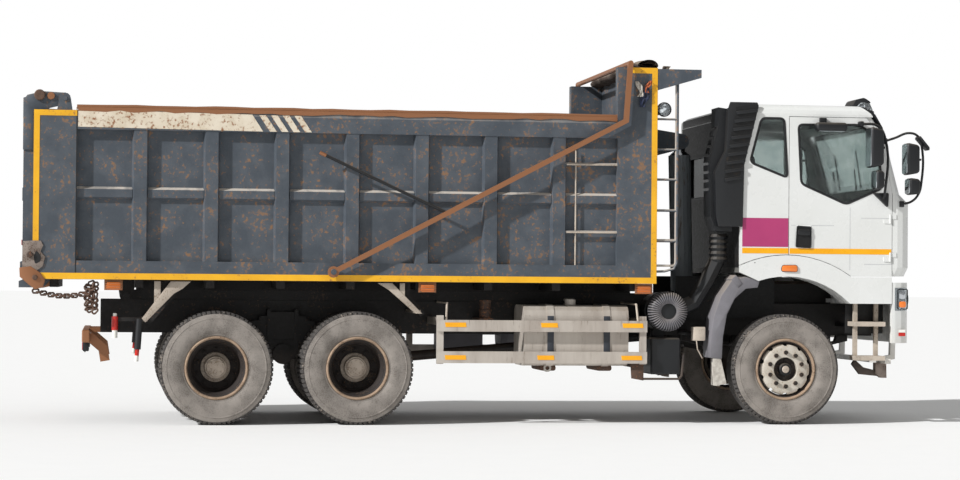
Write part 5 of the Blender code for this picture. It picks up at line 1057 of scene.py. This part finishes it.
@dataclass
class Chassis:
    """Fittings along the frame: reflectors, tank bands, the filter drum, stays, guards, flaps and lamps."""

    guard_y: float = 1.235

    def guard_reflectors(self) -> None:
        """Sticks amber reflectors on both side guards."""
        parts = []
        for high, low, length in ((0.848, 0.848, 0.205), (1.79, 1.755, 0.165), (2.6, 2.59, 0.205)):
            for x, z in ((high, 0.948), (low, 0.632)):
                parts.append(slab([
                    (x, z), (x + length, z), (x + length - 0.006, z + 0.044), (x - 0.006, z + 0.044),
                ], -self.guard_y - 0.003, -self.guard_y - 0.0004))
        painted(REFLECT_AMBER, *parts)
        parts += painted(
            STEP_METAL, tube([(0.86, -1.19, 1.01), (0.872, -1.15, 1.18), (0.872, -0.445, 1.184)], 0.011, 8),
            tube([(2.76, -1.19, 1.01), (2.75, -1.15, 1.178), (2.75, -0.445, 1.184)], 0.011, 8),
        )
        pair("guard_reflectors", "chassis", parts)

    def tank_fittings(self) -> None:
        """Puts the bands, the filler cap and the fluid can on and beside the tank."""
        cap = lathe([
            (0.0, 1.16), (0.054, 1.16), (0.054, 1.18), (0.044, 1.186), (0.044, 1.198), (0.057, 1.204), (0.057, 1.224), (0.045, 1.234),
            (0.0, 1.236),
        ], 28, (2.127, -0.9, 0.0), 2)
        parts = painted(STEEL_BRIGHT, cap)
        section = softened(rectangle(-1.15, 0.571, -0.56, 1.164), 0.15, 8)
        for x in (1.895, 2.455):
            band = frame_of(grown(section, 0.0125), grown(section, -0.004), x - 0.032, x + 0.032, Plane.FRONT, 0.0012)
            parts += painted(STRAP, band)
        can = [
            (0.0, 1.03), (0.052, 1.03), (0.057, 1.042), (0.057, 1.09), (0.062, 1.094), (0.062, 1.112), (0.054, 1.116), (0.054, 1.186),
            (0.06, 1.19), (0.06, 1.206), (0.0, 1.212),
        ]
        parts += dressed(
            (DARK_RUST, *[block((x - 0.075, -1.06, 0.52), (x + 0.075, -0.5, 0.576), 0.02) for x in (1.895, 2.455)]),
            (STEEL_BRIGHT, lathe(rectangle(0.02, -1.08, 0.038, -1.03), 20, (1.88, 0.0, 0.548))),
            (DARK_RUST, lathe(can, 24, (1.3, -0.82, 0.0), 2), block((1.23, -0.88, 1.012), (1.37, -0.44, 1.03))),
        )
        fitted("tank_bands_and_can", "chassis", parts)

    def air_drum(self) -> None:
        """Ribs the round filter drum's face, which curves in to a deep middle."""
        cx, cz = 3.07, 1.11
        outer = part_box("air_cleaner_right")[0][1]
        curve = [
            (0.074, 0.0), (0.08, -0.01), (0.096, -0.024), (0.12, -0.033), (0.146, -0.032), (0.168, -0.023), (0.183, -0.006), (0.19, 0.016),
            (0.191, 0.06),
        ]
        parts = [lathe(
            [(r, outer + y) for r, y in curve] + [(0.186, outer + 0.06), (0.18, outer + 0.004), (0.078, outer + 0.006)], 64, (cx, 0, cz),
        )]
        parts.append(lathe([
            (0.0, outer - 0.004), (0.05, outer - 0.004), (0.078, outer - 0.0006), (0.078, outer - 0.0002), (0.0, outer - 0.0002),
        ], 32, (cx, 0, cz)))
        ribs = around(tube([(cx, outer + y - 0.002, cz + r) for r, y in curve[1:]], 0.006, 6), 44, (cx, 0, cz))
        parts += [lathe(
            [(0.187, outer + y), (0.195, outer + y + 0.004), (0.195, outer + y + 0.012), (0.187, outer + y + 0.016)], 48, (cx, 0, cz),
        ) for y in (0.075, 0.2)]
        fitted("filter_drum_face", "chassis", painted(BLACK_PLASTIC, *parts) + painted(GREY_PLASTIC, *ribs))

    def stays(self) -> None:
        """Fits the pale stays over the twin wheels and the striped rod behind them."""
        parts = dressed(
            (
                STEP_METAL,
                slab([
                    (-1.79, 1.368), (-1.6, 1.368), (-1.675, 1.3), (-1.76, 1.25), (-2.025, 0.975), (-2.06, 1.012),
                ], -1.2, -1.16, bevel=0.003),
                block((-1.945, -1.19, 1.165), (-1.885, -1.165, 1.368)), block((-2.055, -1.16, 0.985), (-2.005, -0.44, 1.02)),
                slab([(0.19, 1.368), (0.33, 1.368), (0.625, 1.075), (0.56, 1.075), (0.3, 1.3)], -1.2, -1.16, bevel=0.003),
                block((0.405, -1.19, 1.215), (0.455, -1.165, 1.368)), block((0.555, -1.16, 1.078), (0.615, -0.44, 1.11)),
            ),
            (BLACK_PLASTIC, tube([(-2.08, -1.18, 1.01), (-2.098, -1.18, 0.72)], 0.032, 14)),
            (REFLECT_RED, tube([(-2.098, -1.18, 0.722), (-2.104, -1.18, 0.66)], 0.02, 12)),
            (REFLECT_WHITE, tube([(-2.104, -1.18, 0.66), (-2.108, -1.18, 0.606)], 0.02, 12)),
            (REFLECT_RED, tube([(-2.312, -1.12, 1.03), (-2.312, -1.12, 0.9)], 0.03, 14)),
            (
                REFLECT_WHITE, tube([(-2.312, -1.12, 0.9), (-2.312, -1.12, 0.826)], 0.026, 14),
                tube([(-2.312, -1.12, 1.03), (-2.312, -1.12, 1.06)], 0.018, 12),
            ),
            (CHASSIS, block((-2.34, -1.12, 0.985), (-2.06, -1.085, 1.02)), block((-2.345, -1.118, 0.93), (-2.3, -0.44, 0.96))),
        )
        pair("stays", "chassis", parts)

    def front_guards(self) -> None:
        """Makes the grey guards behind the front tyres, with the flap, the step well and the small box."""
        outer = [(3.983, 1.435), (3.835, 1.458), (3.7, 1.428), (3.587, 1.263), (3.516, 1.061), (3.487, 0.859), (3.48, 0.657)]
        inner = [(3.6, 0.646), (3.61, 0.859), (3.648, 1.083), (3.727, 1.241), (3.839, 1.34), (3.96, 1.352)]
        parts = [rounded(slab(outer + inner, -1.225, -0.925), 0.008)]
        parts.append(slab([(3.69, 1.43), (3.735, 1.476), (3.8, 1.395), (3.752, 1.352)], -1.232, -0.925, bevel=0.004))
        parts.append(block((3.54, -0.93, 0.9), (3.59, -FRAME_FACE, 0.94)))
        painted(GREY_PLASTIC, *parts)
        parts += dressed(
            (
                RAG_PALE, slab([(3.508, 0.655), (3.59, 0.655), (3.65, 0.4), (3.52, 0.384)], -1.215, -1.207),
                slab([(3.56, 0.655), (3.58, 0.655), (3.585, 0.38), (3.56, 0.38)], -1.205, -0.94, bevel=0.001),
            ),
            (STEP_METAL, block((3.33, -1.15, 0.823), (3.451, -1.04, 0.96), 0.008), tube(
                [(3.36, -1.15, 0.823), (3.37, -1.15, 0.74), (3.42, -1.15, 0.65)], 0.006,
            )),
            (CHASSIS, block((3.345, -1.04, 0.87), (3.44, -FRAME_FACE, 0.91))),
            (BLACK_AND_SHADE, block((4.93, -0.985, 0.9), (5.325, -0.96, 1.395), 0.004), block((5.0, -0.96, 0.96), (5.05, -FRAME_FACE, 1.0))),
        )
        pair("front_guard", "chassis", parts, "front_mudguard")

    def shields(self) -> None:
        """Closes the wheel arches inside with splash plates and adds the towing ends under the bumper."""
        parts = dressed(
            (BLACK_AND_SHADE, slab([(3.3, 1.05), (3.56, 1.02), (4.33, 1.06), (4.33, 1.462), (3.3, 1.462)], -0.512, -0.5)),
            (
                CHASSIS, block((3.48, -0.502, 1.08), (3.54, -FRAME_FACE, 1.12)), block((4.1, -0.502, 1.08), (4.16, -FRAME_FACE, 1.12)),
                slab([(5.03, 0.64), (5.12, 0.56), (5.29, 0.52), (5.29, 0.47), (5.08, 0.49), (5.0, 0.59)], -1.0, -0.95, bevel=0.004),
            ),
            (WEATHERED, slab([(5.24, 0.606), (5.352, 0.606), (5.356, 0.455), (5.3, 0.455), (5.24, 0.5)], -1.02, -0.93, bevel=0.004)),
        )
        pair("splash_plate", "chassis", parts)

    def rear_lamps(self) -> None:
        """Hangs the rear lamp boxes and the blank plate holder under the bumper."""
        parts = painted(BLACK_PLASTIC, block((-2.612, -0.86, 0.69), (-2.556, -0.48, 0.784), 0.006))
        for finish, low, high in ((LAMP_RED, -0.85, -0.74), (LAMP_AMBER, -0.73, -0.62), (LAMP_CLEAR, -0.61, -0.49)):
            parts += painted(finish, slab(softened(rectangle(low, 0.7, high, 0.776), 0.012), -2.62, -2.611, Plane.FRONT, 0.003))
        pair("rear_lamps", "chassis", parts)
        plate = dressed(
            (BLACK_AND_SHADE, block((-2.604, -0.265, 0.662), (-2.592, 0.265, 0.784), 0.003)),
            (REFLECT_WHITE, block((-2.607, -0.258, 0.67), (-2.603, 0.258, 0.776), 0.001)),
        )
        fitted("blank_plate_holder", "chassis", plate)

    def lower_box(self) -> None:
        """Adds the foot plate and its bent bar under the filter box."""
        parts = dressed(
            (DARK_RUST, slab([(2.689, 0.616), (2.819, 0.616), (2.819, 0.431), (2.7, 0.452)], -1.19, -1.165, bevel=0.002)),
            (CHASSIS, tube(
                [(2.815, -1.175, 0.448), (3.179, -1.175, 0.448), (3.205, -1.175, 0.48), (3.225, -1.175, 0.69)], 0.012,
            ), block((2.7, -1.165, 0.56), (2.81, -FRAME_FACE, 0.6)), block((3.06, -1.02, 0.47), (3.11, -FRAME_FACE, 0.5))),
        )
        fitted("foot_plate", "chassis", parts)

    def build(self) -> None:
        """Builds every fitting of the chassis."""
        self.guard_reflectors()
        self.tank_fittings()
        self.air_drum()
        self.stays()
        self.front_guards()
        self.lower_box()
        self.shields()
        self.rear_lamps()


@dataclass
class Cab:
    """Seals, panes, stripe, handles, lamps, mirrors, wipers and the seats."""

    skin: float = 1.24  # the doors' and walls' distance from the middle
    fender_side: float = 1.2502
    bumper_side: float = 1.2452
    screen_foot: Flat = (5.425, 2.29)
    screen_top: Flat = (5.262, 2.86)
    door_window: tuple[Flat, ...] = ((4.98, 2.975), (5.165, 2.861), (5.225, 2.355), (4.854, 2.189), (4.394, 2.386), (4.363, 2.967))
    quarter_window: tuple[Flat, ...] = ((3.985, 3.025), (4.212, 3.025), (4.248, 2.445), (3.872, 2.59))

    def seals(self) -> None:
        """Frames the side windows in black rubber."""
        for side, sign in SIDES:
            for name, body, outline in (("door", f"door_{side}", self.door_window), ("quarter", "cab", self.quarter_window)):
                shape = softened(outline, 0.045)
                ring = frame_of(
                    grown(shape, 0.014), grown(shape, -0.01), sign * (self.skin - 0.004), sign * (self.skin + 0.004), bevel=0.0015,
                )
                parts = painted(RUBBER_SEAL, ring)
                fitted(f"{name}_window_seal_{side}", body, parts)
            pane = slab(grown(self.quarter_window, 0.004), sign * (self.skin - 0.014), sign * (self.skin - 0.009))
            fitted(f"quarter_pane_{side}", "cab", painted(WINDOW, pane))

    def stripe(self) -> None:
        """Runs the yellow stripe along the doors and the walls, with a bolt, and fits the plain coloured panel."""
        out, face = self.skin + 0.0014, self.skin + 0.0004
        for side, sign in SIDES:
            door = slab(rectangle(4.276, 1.69, 5.322, 1.744), sign * out, sign * face)
            wall = slab(rectangle(3.794, 1.69, 4.264, 1.744), sign * out, sign * face)
            fitted(f"stripe_door_{side}", f"door_{side}", painted(CAB_YELLOW, door))
            nut = bolt(0.011, 0.008, (3.92, sign * (self.skin + 0.0002), 1.598), sign)
            fitted(f"stripe_wall_{side}", "cab", painted(CAB_YELLOW, wall) + painted(NUT_GREY, nut))
            panel = slab(rectangle(3.794, 1.756, 4.262, 2.04), sign * out, sign * face)
            fitted(f"plain_panel_{side}", "cab", painted(MAGENTA, panel))

    def mirror(self, low: Point, high: Point) -> list[Thing]:
        """Makes a rounded mirror head that looks back, with its glass.

        Args:
            low: the lower corner of its box.
            high: the upper corner.

        Returns:
            The head and the glass.
        """
        head = block(low, high, 0.03, 4)
        for vertex in head.data.vertices:
            share = (vertex.co.x - low[0]) / (high[0] - low[0])
            for axis in (1, 2):
                middle = (low[axis] + high[axis]) / 2
                vertex.co[axis] = middle + (vertex.co[axis] - middle) * (1.0 - 0.16 * share**2)
        face = softened(rectangle(low[1] + 0.012, low[2] + 0.012, high[1] - 0.012, high[2] - 0.012), 0.03)
        return painted(BLACK_PLASTIC, head) + painted(MIRROR, slab(face, low[0] - 0.002, low[0] + 0.004, Plane.FRONT))

    def mirrors(self) -> None:
        """Makes the mirrors on the doors, the kerb mirror and the bowed corner arm."""
        out = -self.skin - 0.0003
        line = [
            (5.225, out - 0.025, 2.23), (5.222, out - 0.09, 2.3), (5.215, out - 0.1, 2.86), (5.15, out - 0.08, 2.965),
            (4.99, out - 0.07, 2.985),
        ]
        parts = painted(
            BLACK_PLASTIC, slab(softened([(5.12, 2.3), (5.282, 2.305), (5.275, 2.157)], 0.02), out - 0.045, out, bevel=0.008),
            tube(line, 0.013, 12, True), *[tube([(5.11, out - 0.1, z), (5.216, out - 0.1, z)], 0.012) for z in (2.75, 2.43)],
            block((4.965, out - 0.082, 2.96), (5.01, out, 3.01), 0.01),
        )
        parts += self.mirror((5.03, out - 0.25, 2.545), (5.17, out - 0.06, 2.945))
        parts += self.mirror((5.09, out - 0.24, 2.33), (5.18, out - 0.06, 2.522))
        pair("door_mirror", "door_{side}", parts, "mirror")
        kerb = dressed(
            (
                BLACK_PLASTIC, block((4.51, out - 0.13, 2.902), (4.83, out - 0.02, 2.99), 0.03, 4),
                block((4.57, out - 0.035, 2.975), (4.64, out, 3.04), 0.006),
            ),
            (MIRROR, slab(rectangle(4.54, out - 0.115, 4.8, out - 0.035), 2.9, 2.906, Plane.TOP)),
        )
        fitted("kerb_mirror_head", "door_right", kerb, ("kerb_mirror_right",))
        y = -1.2103
        arm = [
            (5.25, y - 0.03, 2.82), (5.34, y - 0.05, 2.85), (5.5, y - 0.05, 2.904), (5.59, y - 0.05, 2.87), (5.62, y - 0.05, 2.8),
            (5.625, y - 0.05, 2.42), (5.59, y - 0.05, 2.29), (5.52, y - 0.045, 2.22), (5.43, y - 0.0335, 2.195),
        ]
        parts = painted(
            BLACK_PLASTIC, tube(arm, 0.012, 12, True), tube([(5.55, y - 0.05, 2.64), (5.62, y - 0.05, 2.64)], 0.011),
            tube([(5.56, y - 0.05, 2.37), (5.622, y - 0.05, 2.37)], 0.011),
            block((5.235, y - 0.045, 2.79), (5.275, y - 0.012, 2.85), 0.008),
            block((5.405, y - 0.05, 2.165), (5.45, y - 0.018, 2.225), 0.008),
        )
        parts += self.mirror((5.45, y - 0.13, 2.484), (5.59, y + 0.04, 2.803))
        parts += self.mirror((5.48, y - 0.12, 2.286), (5.6, y + 0.04, 2.455))
        look = slab([(5.575, 2.85), (5.59, 2.878), (5.69, 2.76), (5.686, 2.728)], y - 0.12, y + 0.03, bevel=0.012)
        parts += painted(BLACK_PLASTIC, look)
        fitted("corner_mirror_arm", "cab", parts, ("corner_mirror_right",))

    def visor(self) -> None:
        """Makes the tinted sun visor and the two roof lamps with their black hoods."""
        parts = painted(BLACK_PLASTIC, slab(
            [(5.058, 3.158), (5.072, 3.166), (5.19, 3.094), (5.273, 2.955), (5.262, 2.946), (5.176, 3.076)], -1.12, 1.12, bevel=0.003,
        ), *[block((5.06, y - 0.015, 3.105), (5.18, y + 0.015, 3.13), 0.003) for y in (-1.0, -0.35, 0.35, 1.0)])
        for sign in (-1.0, 1.0):
            low, high = sorted((sign * 0.8, sign * 1.1))
            hood = softened([(4.96, 3.172), (4.995, 3.24), (5.08, 3.262), (5.14, 3.225), (5.15, 3.205), (5.06, 3.222), (5.0, 3.17)], 0.02)
            lens = softened([(4.998, 3.16), (5.01, 3.222), (5.07, 3.238), (5.142, 3.206), (5.178, 3.13), (5.1, 3.132)], 0.015)
            parts += dressed(
                (BLACK_PLASTIC, slab(hood, low, high, bevel=0.004), slab(
                    [(4.975, 3.15), (5.0, 3.178), (5.18, 3.128), (5.186, 3.104), (5.06, 3.12)], low, high, bevel=0.003,
                )),
                (LAMP_CLEAR, slab(lens, low + 0.008, high - 0.008, bevel=0.006)),
                (CHROME, lathe(
                    [(0.0, 5.06), (0.02, 5.075), (0.028, 5.105), (0.024, 5.105), (0.0, 5.07)], 20, (0.0, (low + high) / 2, 3.18), 0,
                )),
            )
        fitted("sun_visor_and_lamps", "cab", parts, ("sun_visor",))

    def intake(self) -> None:
        """Cases the air intake beside the cab's corner and slats its upper part, with painted shade between the slats.
        """
        outline = [
            (3.543, 1.95), (3.793, 1.95), (3.806, 2.566), (3.95, 3.145), (3.935, 3.18), (3.66, 3.18), (3.64, 3.12), (3.62, 2.7),
            (3.51, 2.487), (3.52, 2.05),
        ]
        face = -self.skin - 0.0008
        back = [(3.543, 1.955), (3.738, 1.955), (3.738, 2.56), (3.745, 3.12), (3.64, 3.12), (3.62, 2.7), (3.51, 2.487), (3.52, 2.05)]
        parts = painted(BLACK_PLASTIC, slab(outline, face - 0.021, face, bevel=0.006), slab(back, face - 0.004, -1.176, bevel=0.002))
        for row in range(9):
            z = 2.4 + 0.083 * row
            left, right = max(3.58, 3.56 + 0.2 * (z - 2.4)), 3.77 + 0.2486 * (z - 2.4)
            slat = slab([
                (left + 0.025, z - 0.01), (right, z + 0.02), (right, z + 0.052), (left + 0.025, z + 0.022),
            ], face - 0.04, face - 0.018, bevel=0.004)
            parts += dressed(
                (BLACK_PLASTIC, slat),
                # The near-black strip between the slats is painted shade.
                (BLACK_AND_SHADE, slab([
                    (left + 0.025, z + 0.03), (right, z + 0.06), (right, z + 0.098), (left + 0.025, z + 0.068),
                ], face - 0.0218, face - 0.0212)),
            )
        fitted("air_intake_case", "cab", parts)

    def door_details(self) -> None:
        """Adds the handle recess, the pressed lines and the side repeater, on both sides."""
        for side, sign in SIDES:
            face = sign * (self.skin + 0.0083)
            pocket = softened([(4.333, 1.752), (4.496, 1.745), (4.496, 1.96), (4.345, 1.97)], 0.02)
            parts = dressed(
                (BLACK_PLASTIC, frame_of(pocket, grown(pocket, -0.012), face, face + sign * 0.008, bevel=0.002)),
                (BLACK_AND_SHADE, slab(grown(pocket, -0.01), face, face + sign * 0.0012)),
                (BLACK_PLASTIC, slab(
                    softened([(4.352, 1.875), (4.48, 1.87), (4.48, 1.925), (4.356, 1.932)], 0.02), face + sign * 0.0012,
                    face + sign * 0.022, bevel=0.006,
                )),
            )
            face = sign * (self.skin + 0.0002)
            lines = [
                ((4.893, 1.531), (4.897, 2.154)), ((5.008, 2.048), (5.326, 2.052)), ((4.292, 1.97), (4.333, 1.974)),
                ((4.5, 1.97), (4.731, 1.974)), ((5.039, 1.59), (5.326, 1.594)),
            ]
            parts += painted(
                PRESSED_LINE, *[slab([low, (high[0], low[1]), high, (low[0], high[1])], face, face + sign * 0.0006) for low, high in lines]
            )
            fitted(f"door_handle_{side}", f"door_{side}", parts)
            face = sign * self.fender_side
            body = softened([(4.19, 1.516), (4.353, 1.512), (4.35, 1.575), (4.2, 1.573)], 0.02)
            parts = dressed(
                (BLACK_PLASTIC, slab(grown(body, 0.005), face, face + sign * 0.004, bevel=0.001)),
                (LAMP_AMBER, slab(body, face, face + sign * 0.018, bevel=0.006)),
            )
            fitted(f"side_repeater_{side}", "chassis", parts)

    def front_details(self) -> None:
        """Adds the screen's seal, wipers, grille bars with painted shade in their slots, lamp dishes and reflectors,
        and the rear edge and rear window.
        """
        lean = (self.screen_top[0] - self.screen_foot[0]) / (self.screen_top[1] - self.screen_foot[1])
        outer = softened(rectangle(-1.078, 2.342, 1.078, 3.003), 0.05)
        seal = frame_of(outer, grown(outer, -0.036), 5.416, 5.4295, Plane.FRONT, 0.002)
        for vertex in seal.data.vertices:
            vertex.co.x += (vertex.co.z - self.screen_foot[1]) * lean
        parts = painted(RUBBER_SEAL, seal)
        for start, end in ((-0.55, -0.98), (0.25, -0.18), (0.98, 0.55)):
            arm = [(5.436, start, 2.335), (5.428, start - 0.04, 2.4), (5.35, (start + end) / 2, 2.6)]
            blade = [(5.408, end + 0.16, 2.4), (5.3, end + 0.02, 2.78)]
            parts += painted(BLACK_PLASTIC, tube(arm, 0.009, 8), tube(blade, 0.009, 8), block(
                (5.412, start - 0.02, 2.318), (5.44, start + 0.02, 2.352), 0.004,
            ))
        for row in range(4):
            low = 1.62 + row * 0.11
            parts += dressed(
                # A near-black strip behind each grille bar is painted shade in its slot.
                (BLACK_AND_SHADE, block((CAB_FACE - 0.0198, -0.848, low + 0.002), (CAB_FACE - 0.018, 0.848, low + 0.048), 0.0)),
                (BLACK_PLASTIC, block((CAB_FACE - 0.018, -0.846, low + 0.02), (CAB_FACE - 0.004, 0.846, low + 0.029), 0.003)),
            )
        fitted("screen_seal_and_wipers", "cab", parts)
        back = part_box("cab_roof")[0][0] - SHIFT_X
        roof = painted(BLACK_AND_SHADE, block((back - 0.004, -1.15, 3.062), (back - 0.0006, 1.15, 3.14), 0.001))
        parts = []
        for sign in (-1.0, 1.0):
            side, outline = sign * self.bumper_side, softened(rectangle(5.385, 1.145, 5.495, 1.35), 0.02)
            dish = [(0.0, 5.5348), (0.074, 5.5348), (0.08, 5.54), (0.068, 5.54), (0.024, 5.5362), (0.0, 5.5362)]
            parts += dressed(
                (BLACK_PLASTIC, frame_of(outline, grown(outline, -0.01), side, side + sign * 0.004, bevel=0.001)),
                (CHROME, slab(softened(rectangle(5.405, 1.25, 5.47, 1.33), 0.02), side, side + sign * 0.002, bevel=0.001)),
                (LAMP_AMBER, slab(softened(rectangle(5.405, 1.165, 5.475, 1.225), 0.02), side, side + sign * 0.002, bevel=0.001)),
                (CHROME, *[lathe(dish, 32, (0.0, sign * y, 1.247), 0) for y in (0.895, 1.055)]),
                (REFLECT_RED, slab(rectangle(5.4, 0.88, 5.47, 0.915), side, side + sign * 0.0015)),
                (REFLECT_WHITE, slab(rectangle(5.4, 0.917, 5.47, 0.945), side, side + sign * 0.0015)),
            )
        fitted("roof_rear_edge", "cab", roof)
        fitted("bumper_corner_trim", "chassis", parts)
        wall = softened(rectangle(-0.796, 2.284, 0.796, 2.716), 0.03)
        parts = painted(
            RUBBER_SEAL, frame_of(grown(wall, 0.016), grown(wall, -0.01), CAB_BACK - 0.006, CAB_BACK - 0.0003, Plane.FRONT, 0.001),
        )
        fitted("rear_window_seal", "cab", parts)
        fitted("rear_window_pane", "cab", painted(REAR_WINDOW, slab(wall, CAB_BACK + 0.014, CAB_BACK + 0.02, Plane.FRONT)))

    def seat(self, y: float) -> list[Thing]:
        """Makes one padded seat and returns its pads.

        Args:
            y: of its middle.
        """
        cushion = block((4.022, y - 0.258, 1.905), (4.56, y + 0.258, 2.048), 0.05, 4)
        back = slab([(4.16, 2.01), (4.04, 2.01), (3.925, 2.65), (3.955, 2.68), (4.035, 2.672)], y - 0.248, y + 0.248)
        head = slab([(4.026, 2.672), (3.945, 2.662), (3.915, 2.84), (3.985, 2.848)], y - 0.138, y + 0.138)
        return [cushion, rounded(back, 0.036, 4), rounded(head, 0.026, 4)]

    def seats(self) -> None:
        """Makes both seats: the frame in place of the plain solid, and the pads."""
        frame = painted(TRIM, block((3.952, -0.898, 1.56), (4.548, 0.898, 1.648), 0.01))
        for name, y in (("kerb", -0.56), ("driver", 0.56)):
            frame += dressed(
                (
                    BLACK_PLASTIC, block((4.052, y - 0.198, 1.642), (4.498, y + 0.198, 1.908), 0.02, 3),
                    block((4.15, y - 0.262, 1.88), (4.42, y + 0.262, 1.93), 0.008),
                ),
                (STEEL_BRIGHT, *[tube([(3.995, y + off, 2.6), (3.965, y + off, 2.7)], 0.006) for off in (-0.06, 0.06)])
            )
            for part, pad in zip(("cushion", "back", "head"), self.seat(y)):
                fitted(f"{name}_seat_{part}", "cab", painted(SEAT_CLOTH, pad), angle=1.0)
        fitted("seat_frames", "cab", frame, ("seats",))

    def build(self) -> None:
        """Builds every fitting of the cab."""
        self.seals()
        self.stripe()
        self.mirrors()
        self.visor()
        self.intake()
        self.door_details()
        self.front_details()
        self.seats()


@dataclass
class Solids:
    """The finishes of the solids that stay on show."""

    finishes: tuple[tuple[Finish | Glass, str], ...] = (
        (BLACK_PLASTIC, "air_cleaner_right air_intake_right"),
        (TRIM, "dashboard cab_floor"),
        (CHASSIS, "axle_middle axle_rear bogie_springs engine_driveline frame front_axle subframe"),
        (CHASSIS, "knuckle_left knuckle_right"),
        (BED_FLOOR, "bed_floor"),
        (BED_PAINT, "bed_headboard bed_side_left bed_side_right tailgate"),
        (CAB_WHITE, "bumper cab_front cab_roof cab_side_left cab_side_right"),
        (CAB_WHITE, "door_left door_right fender_left fender_right"),
        (BLACK_AND_SHADE, "cab_rear"),
        (WINDOW, "door_glass_left door_glass_right windscreen"),
        (LAMP_CLEAR, "headlamp_left headlamp_right"),
        (GREY_PLASTIC, "silencer_battery_left"),
        (ALUMINIUM, "fuel_tank_right side_guard_left side_guard_right"),
        (STEP_METAL, "steps_left steps_right"),
        (BARREL, "hoist_barrel"),
        (CHROME, "hoist_rod hoist_stage_1 hoist_stage_2 hoist_stage_3"),
        (RUST, "rear_bumper tarp_bow"),
    )

    def build(self, nodes: dict[str, Thing]) -> None:
        """Gives each solid its finish.

        Args:
            nodes: the solids by name.
        """
        for finish, names in self.finishes:
            solids = painted(finish, *(nodes[name] for name in names.split()))
            REPORT.info("%s on %d solids", finish.name, len(solids))


@dataclass
class Studio:
    """The pale floor, soft light and the camera at the side of the truck."""

    lens: float = 89.16  # millimetres
    camera_place: Point = (-2.3726, -24.0, 1.4056)
    yaw: float = -0.1547
    pitch: float = 0.01678
    roll: float = 0.0082
    far: float = 500.0  # metres that the camera sees
    floor_size: float = 420.0
    sunlight: Point = (0.78, 0.36, -0.52)  # the way it travels: from behind the camera, left and above
    sun_power: float = 4.0
    sun_width: float = 0.035  # radians
    ambient: float = 0.36  # the white surroundings as a light, though the camera sees them in full

    def build(self) -> None:
        """Builds the floor, the light and the camera."""
        bpy.ops.object.select_all(action="DESELECT")
        bpy.ops.mesh.primitive_plane_add(size=self.floor_size, location=(0.0, 0.0, 0.0))
        floor = bpy.context.object
        floor.name = "studio_floor"
        floor.data.materials.append(self._floor_material())
        world = bpy.data.worlds.new("studio")
        bpy.context.scene.world = world
        world.use_nodes = True
        tree = world.node_tree
        rays = add_node(tree, "LightPath")
        shown = add_node(
            tree, "Math", {"operation": "MAXIMUM"}, {0: rays.outputs["Is Camera Ray"], 1: rays.outputs["Is Transmission Ray"]},
        ).outputs[0]
        level = ranged(tree, shown, 0.0, 1.0, self.ambient, 1.0)
        ground = tree.nodes["Background"]
        ground.inputs["Color"].default_value = (1.0, 1.0, 1.0, 1.0)
        tree.links.new(level, ground.inputs["Strength"])
        bpy.ops.object.light_add(type="SUN")
        lamp = bpy.context.object
        lamp.rotation_euler = Vector(self.sunlight).to_track_quat("-Z", "Y").to_euler()
        lamp.data.energy, lamp.data.angle = self.sun_power, self.sun_width
        data = bpy.data.cameras.new("side_camera")
        data.lens, data.sensor_width = self.lens, 36.0
        data.clip_end = self.far
        camera = bpy.data.objects.new("side_camera", data)
        bpy.context.scene.collection.objects.link(camera)
        x, y, z = self.camera_place
        turn = Matrix.Rotation(self.yaw, 4, "Z") @ Matrix.Rotation(math.pi / 2 + self.pitch, 4, "X") @ Matrix.Rotation(self.roll, 4, "Z")
        camera.matrix_world = Matrix.Translation((x + SHIFT_X, y, z)) @ turn
        bpy.context.scene.camera = camera
        bpy.context.scene.view_settings.view_transform = "Standard"

    def _floor_material(self) -> Material:
        """Makes the pale floor, which the camera sees nearly white where no shadow lies."""
        made, tree, shader, place = new_material("pale_floor")
        mottle = noise(tree, place, 3.0)
        tree.links.new(mix(tree, mottle, linear("#FBFBFA"), linear("#F8F8F7")), shader.inputs["Base Color"])
        shader.inputs["Roughness"].default_value = 0.9
        return made


def main() -> None:
    """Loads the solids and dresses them."""
    logging.basicConfig(level=logging.INFO, format="%(message)s")
    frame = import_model()
    Studio().build()
    Solids().build(frame["nodes"])
    for assembly in (Wheels(), Bed(), Tarpaulin(), Chassis(), Cab()):
        assembly.build()


if __name__ == "__main__":
    main()
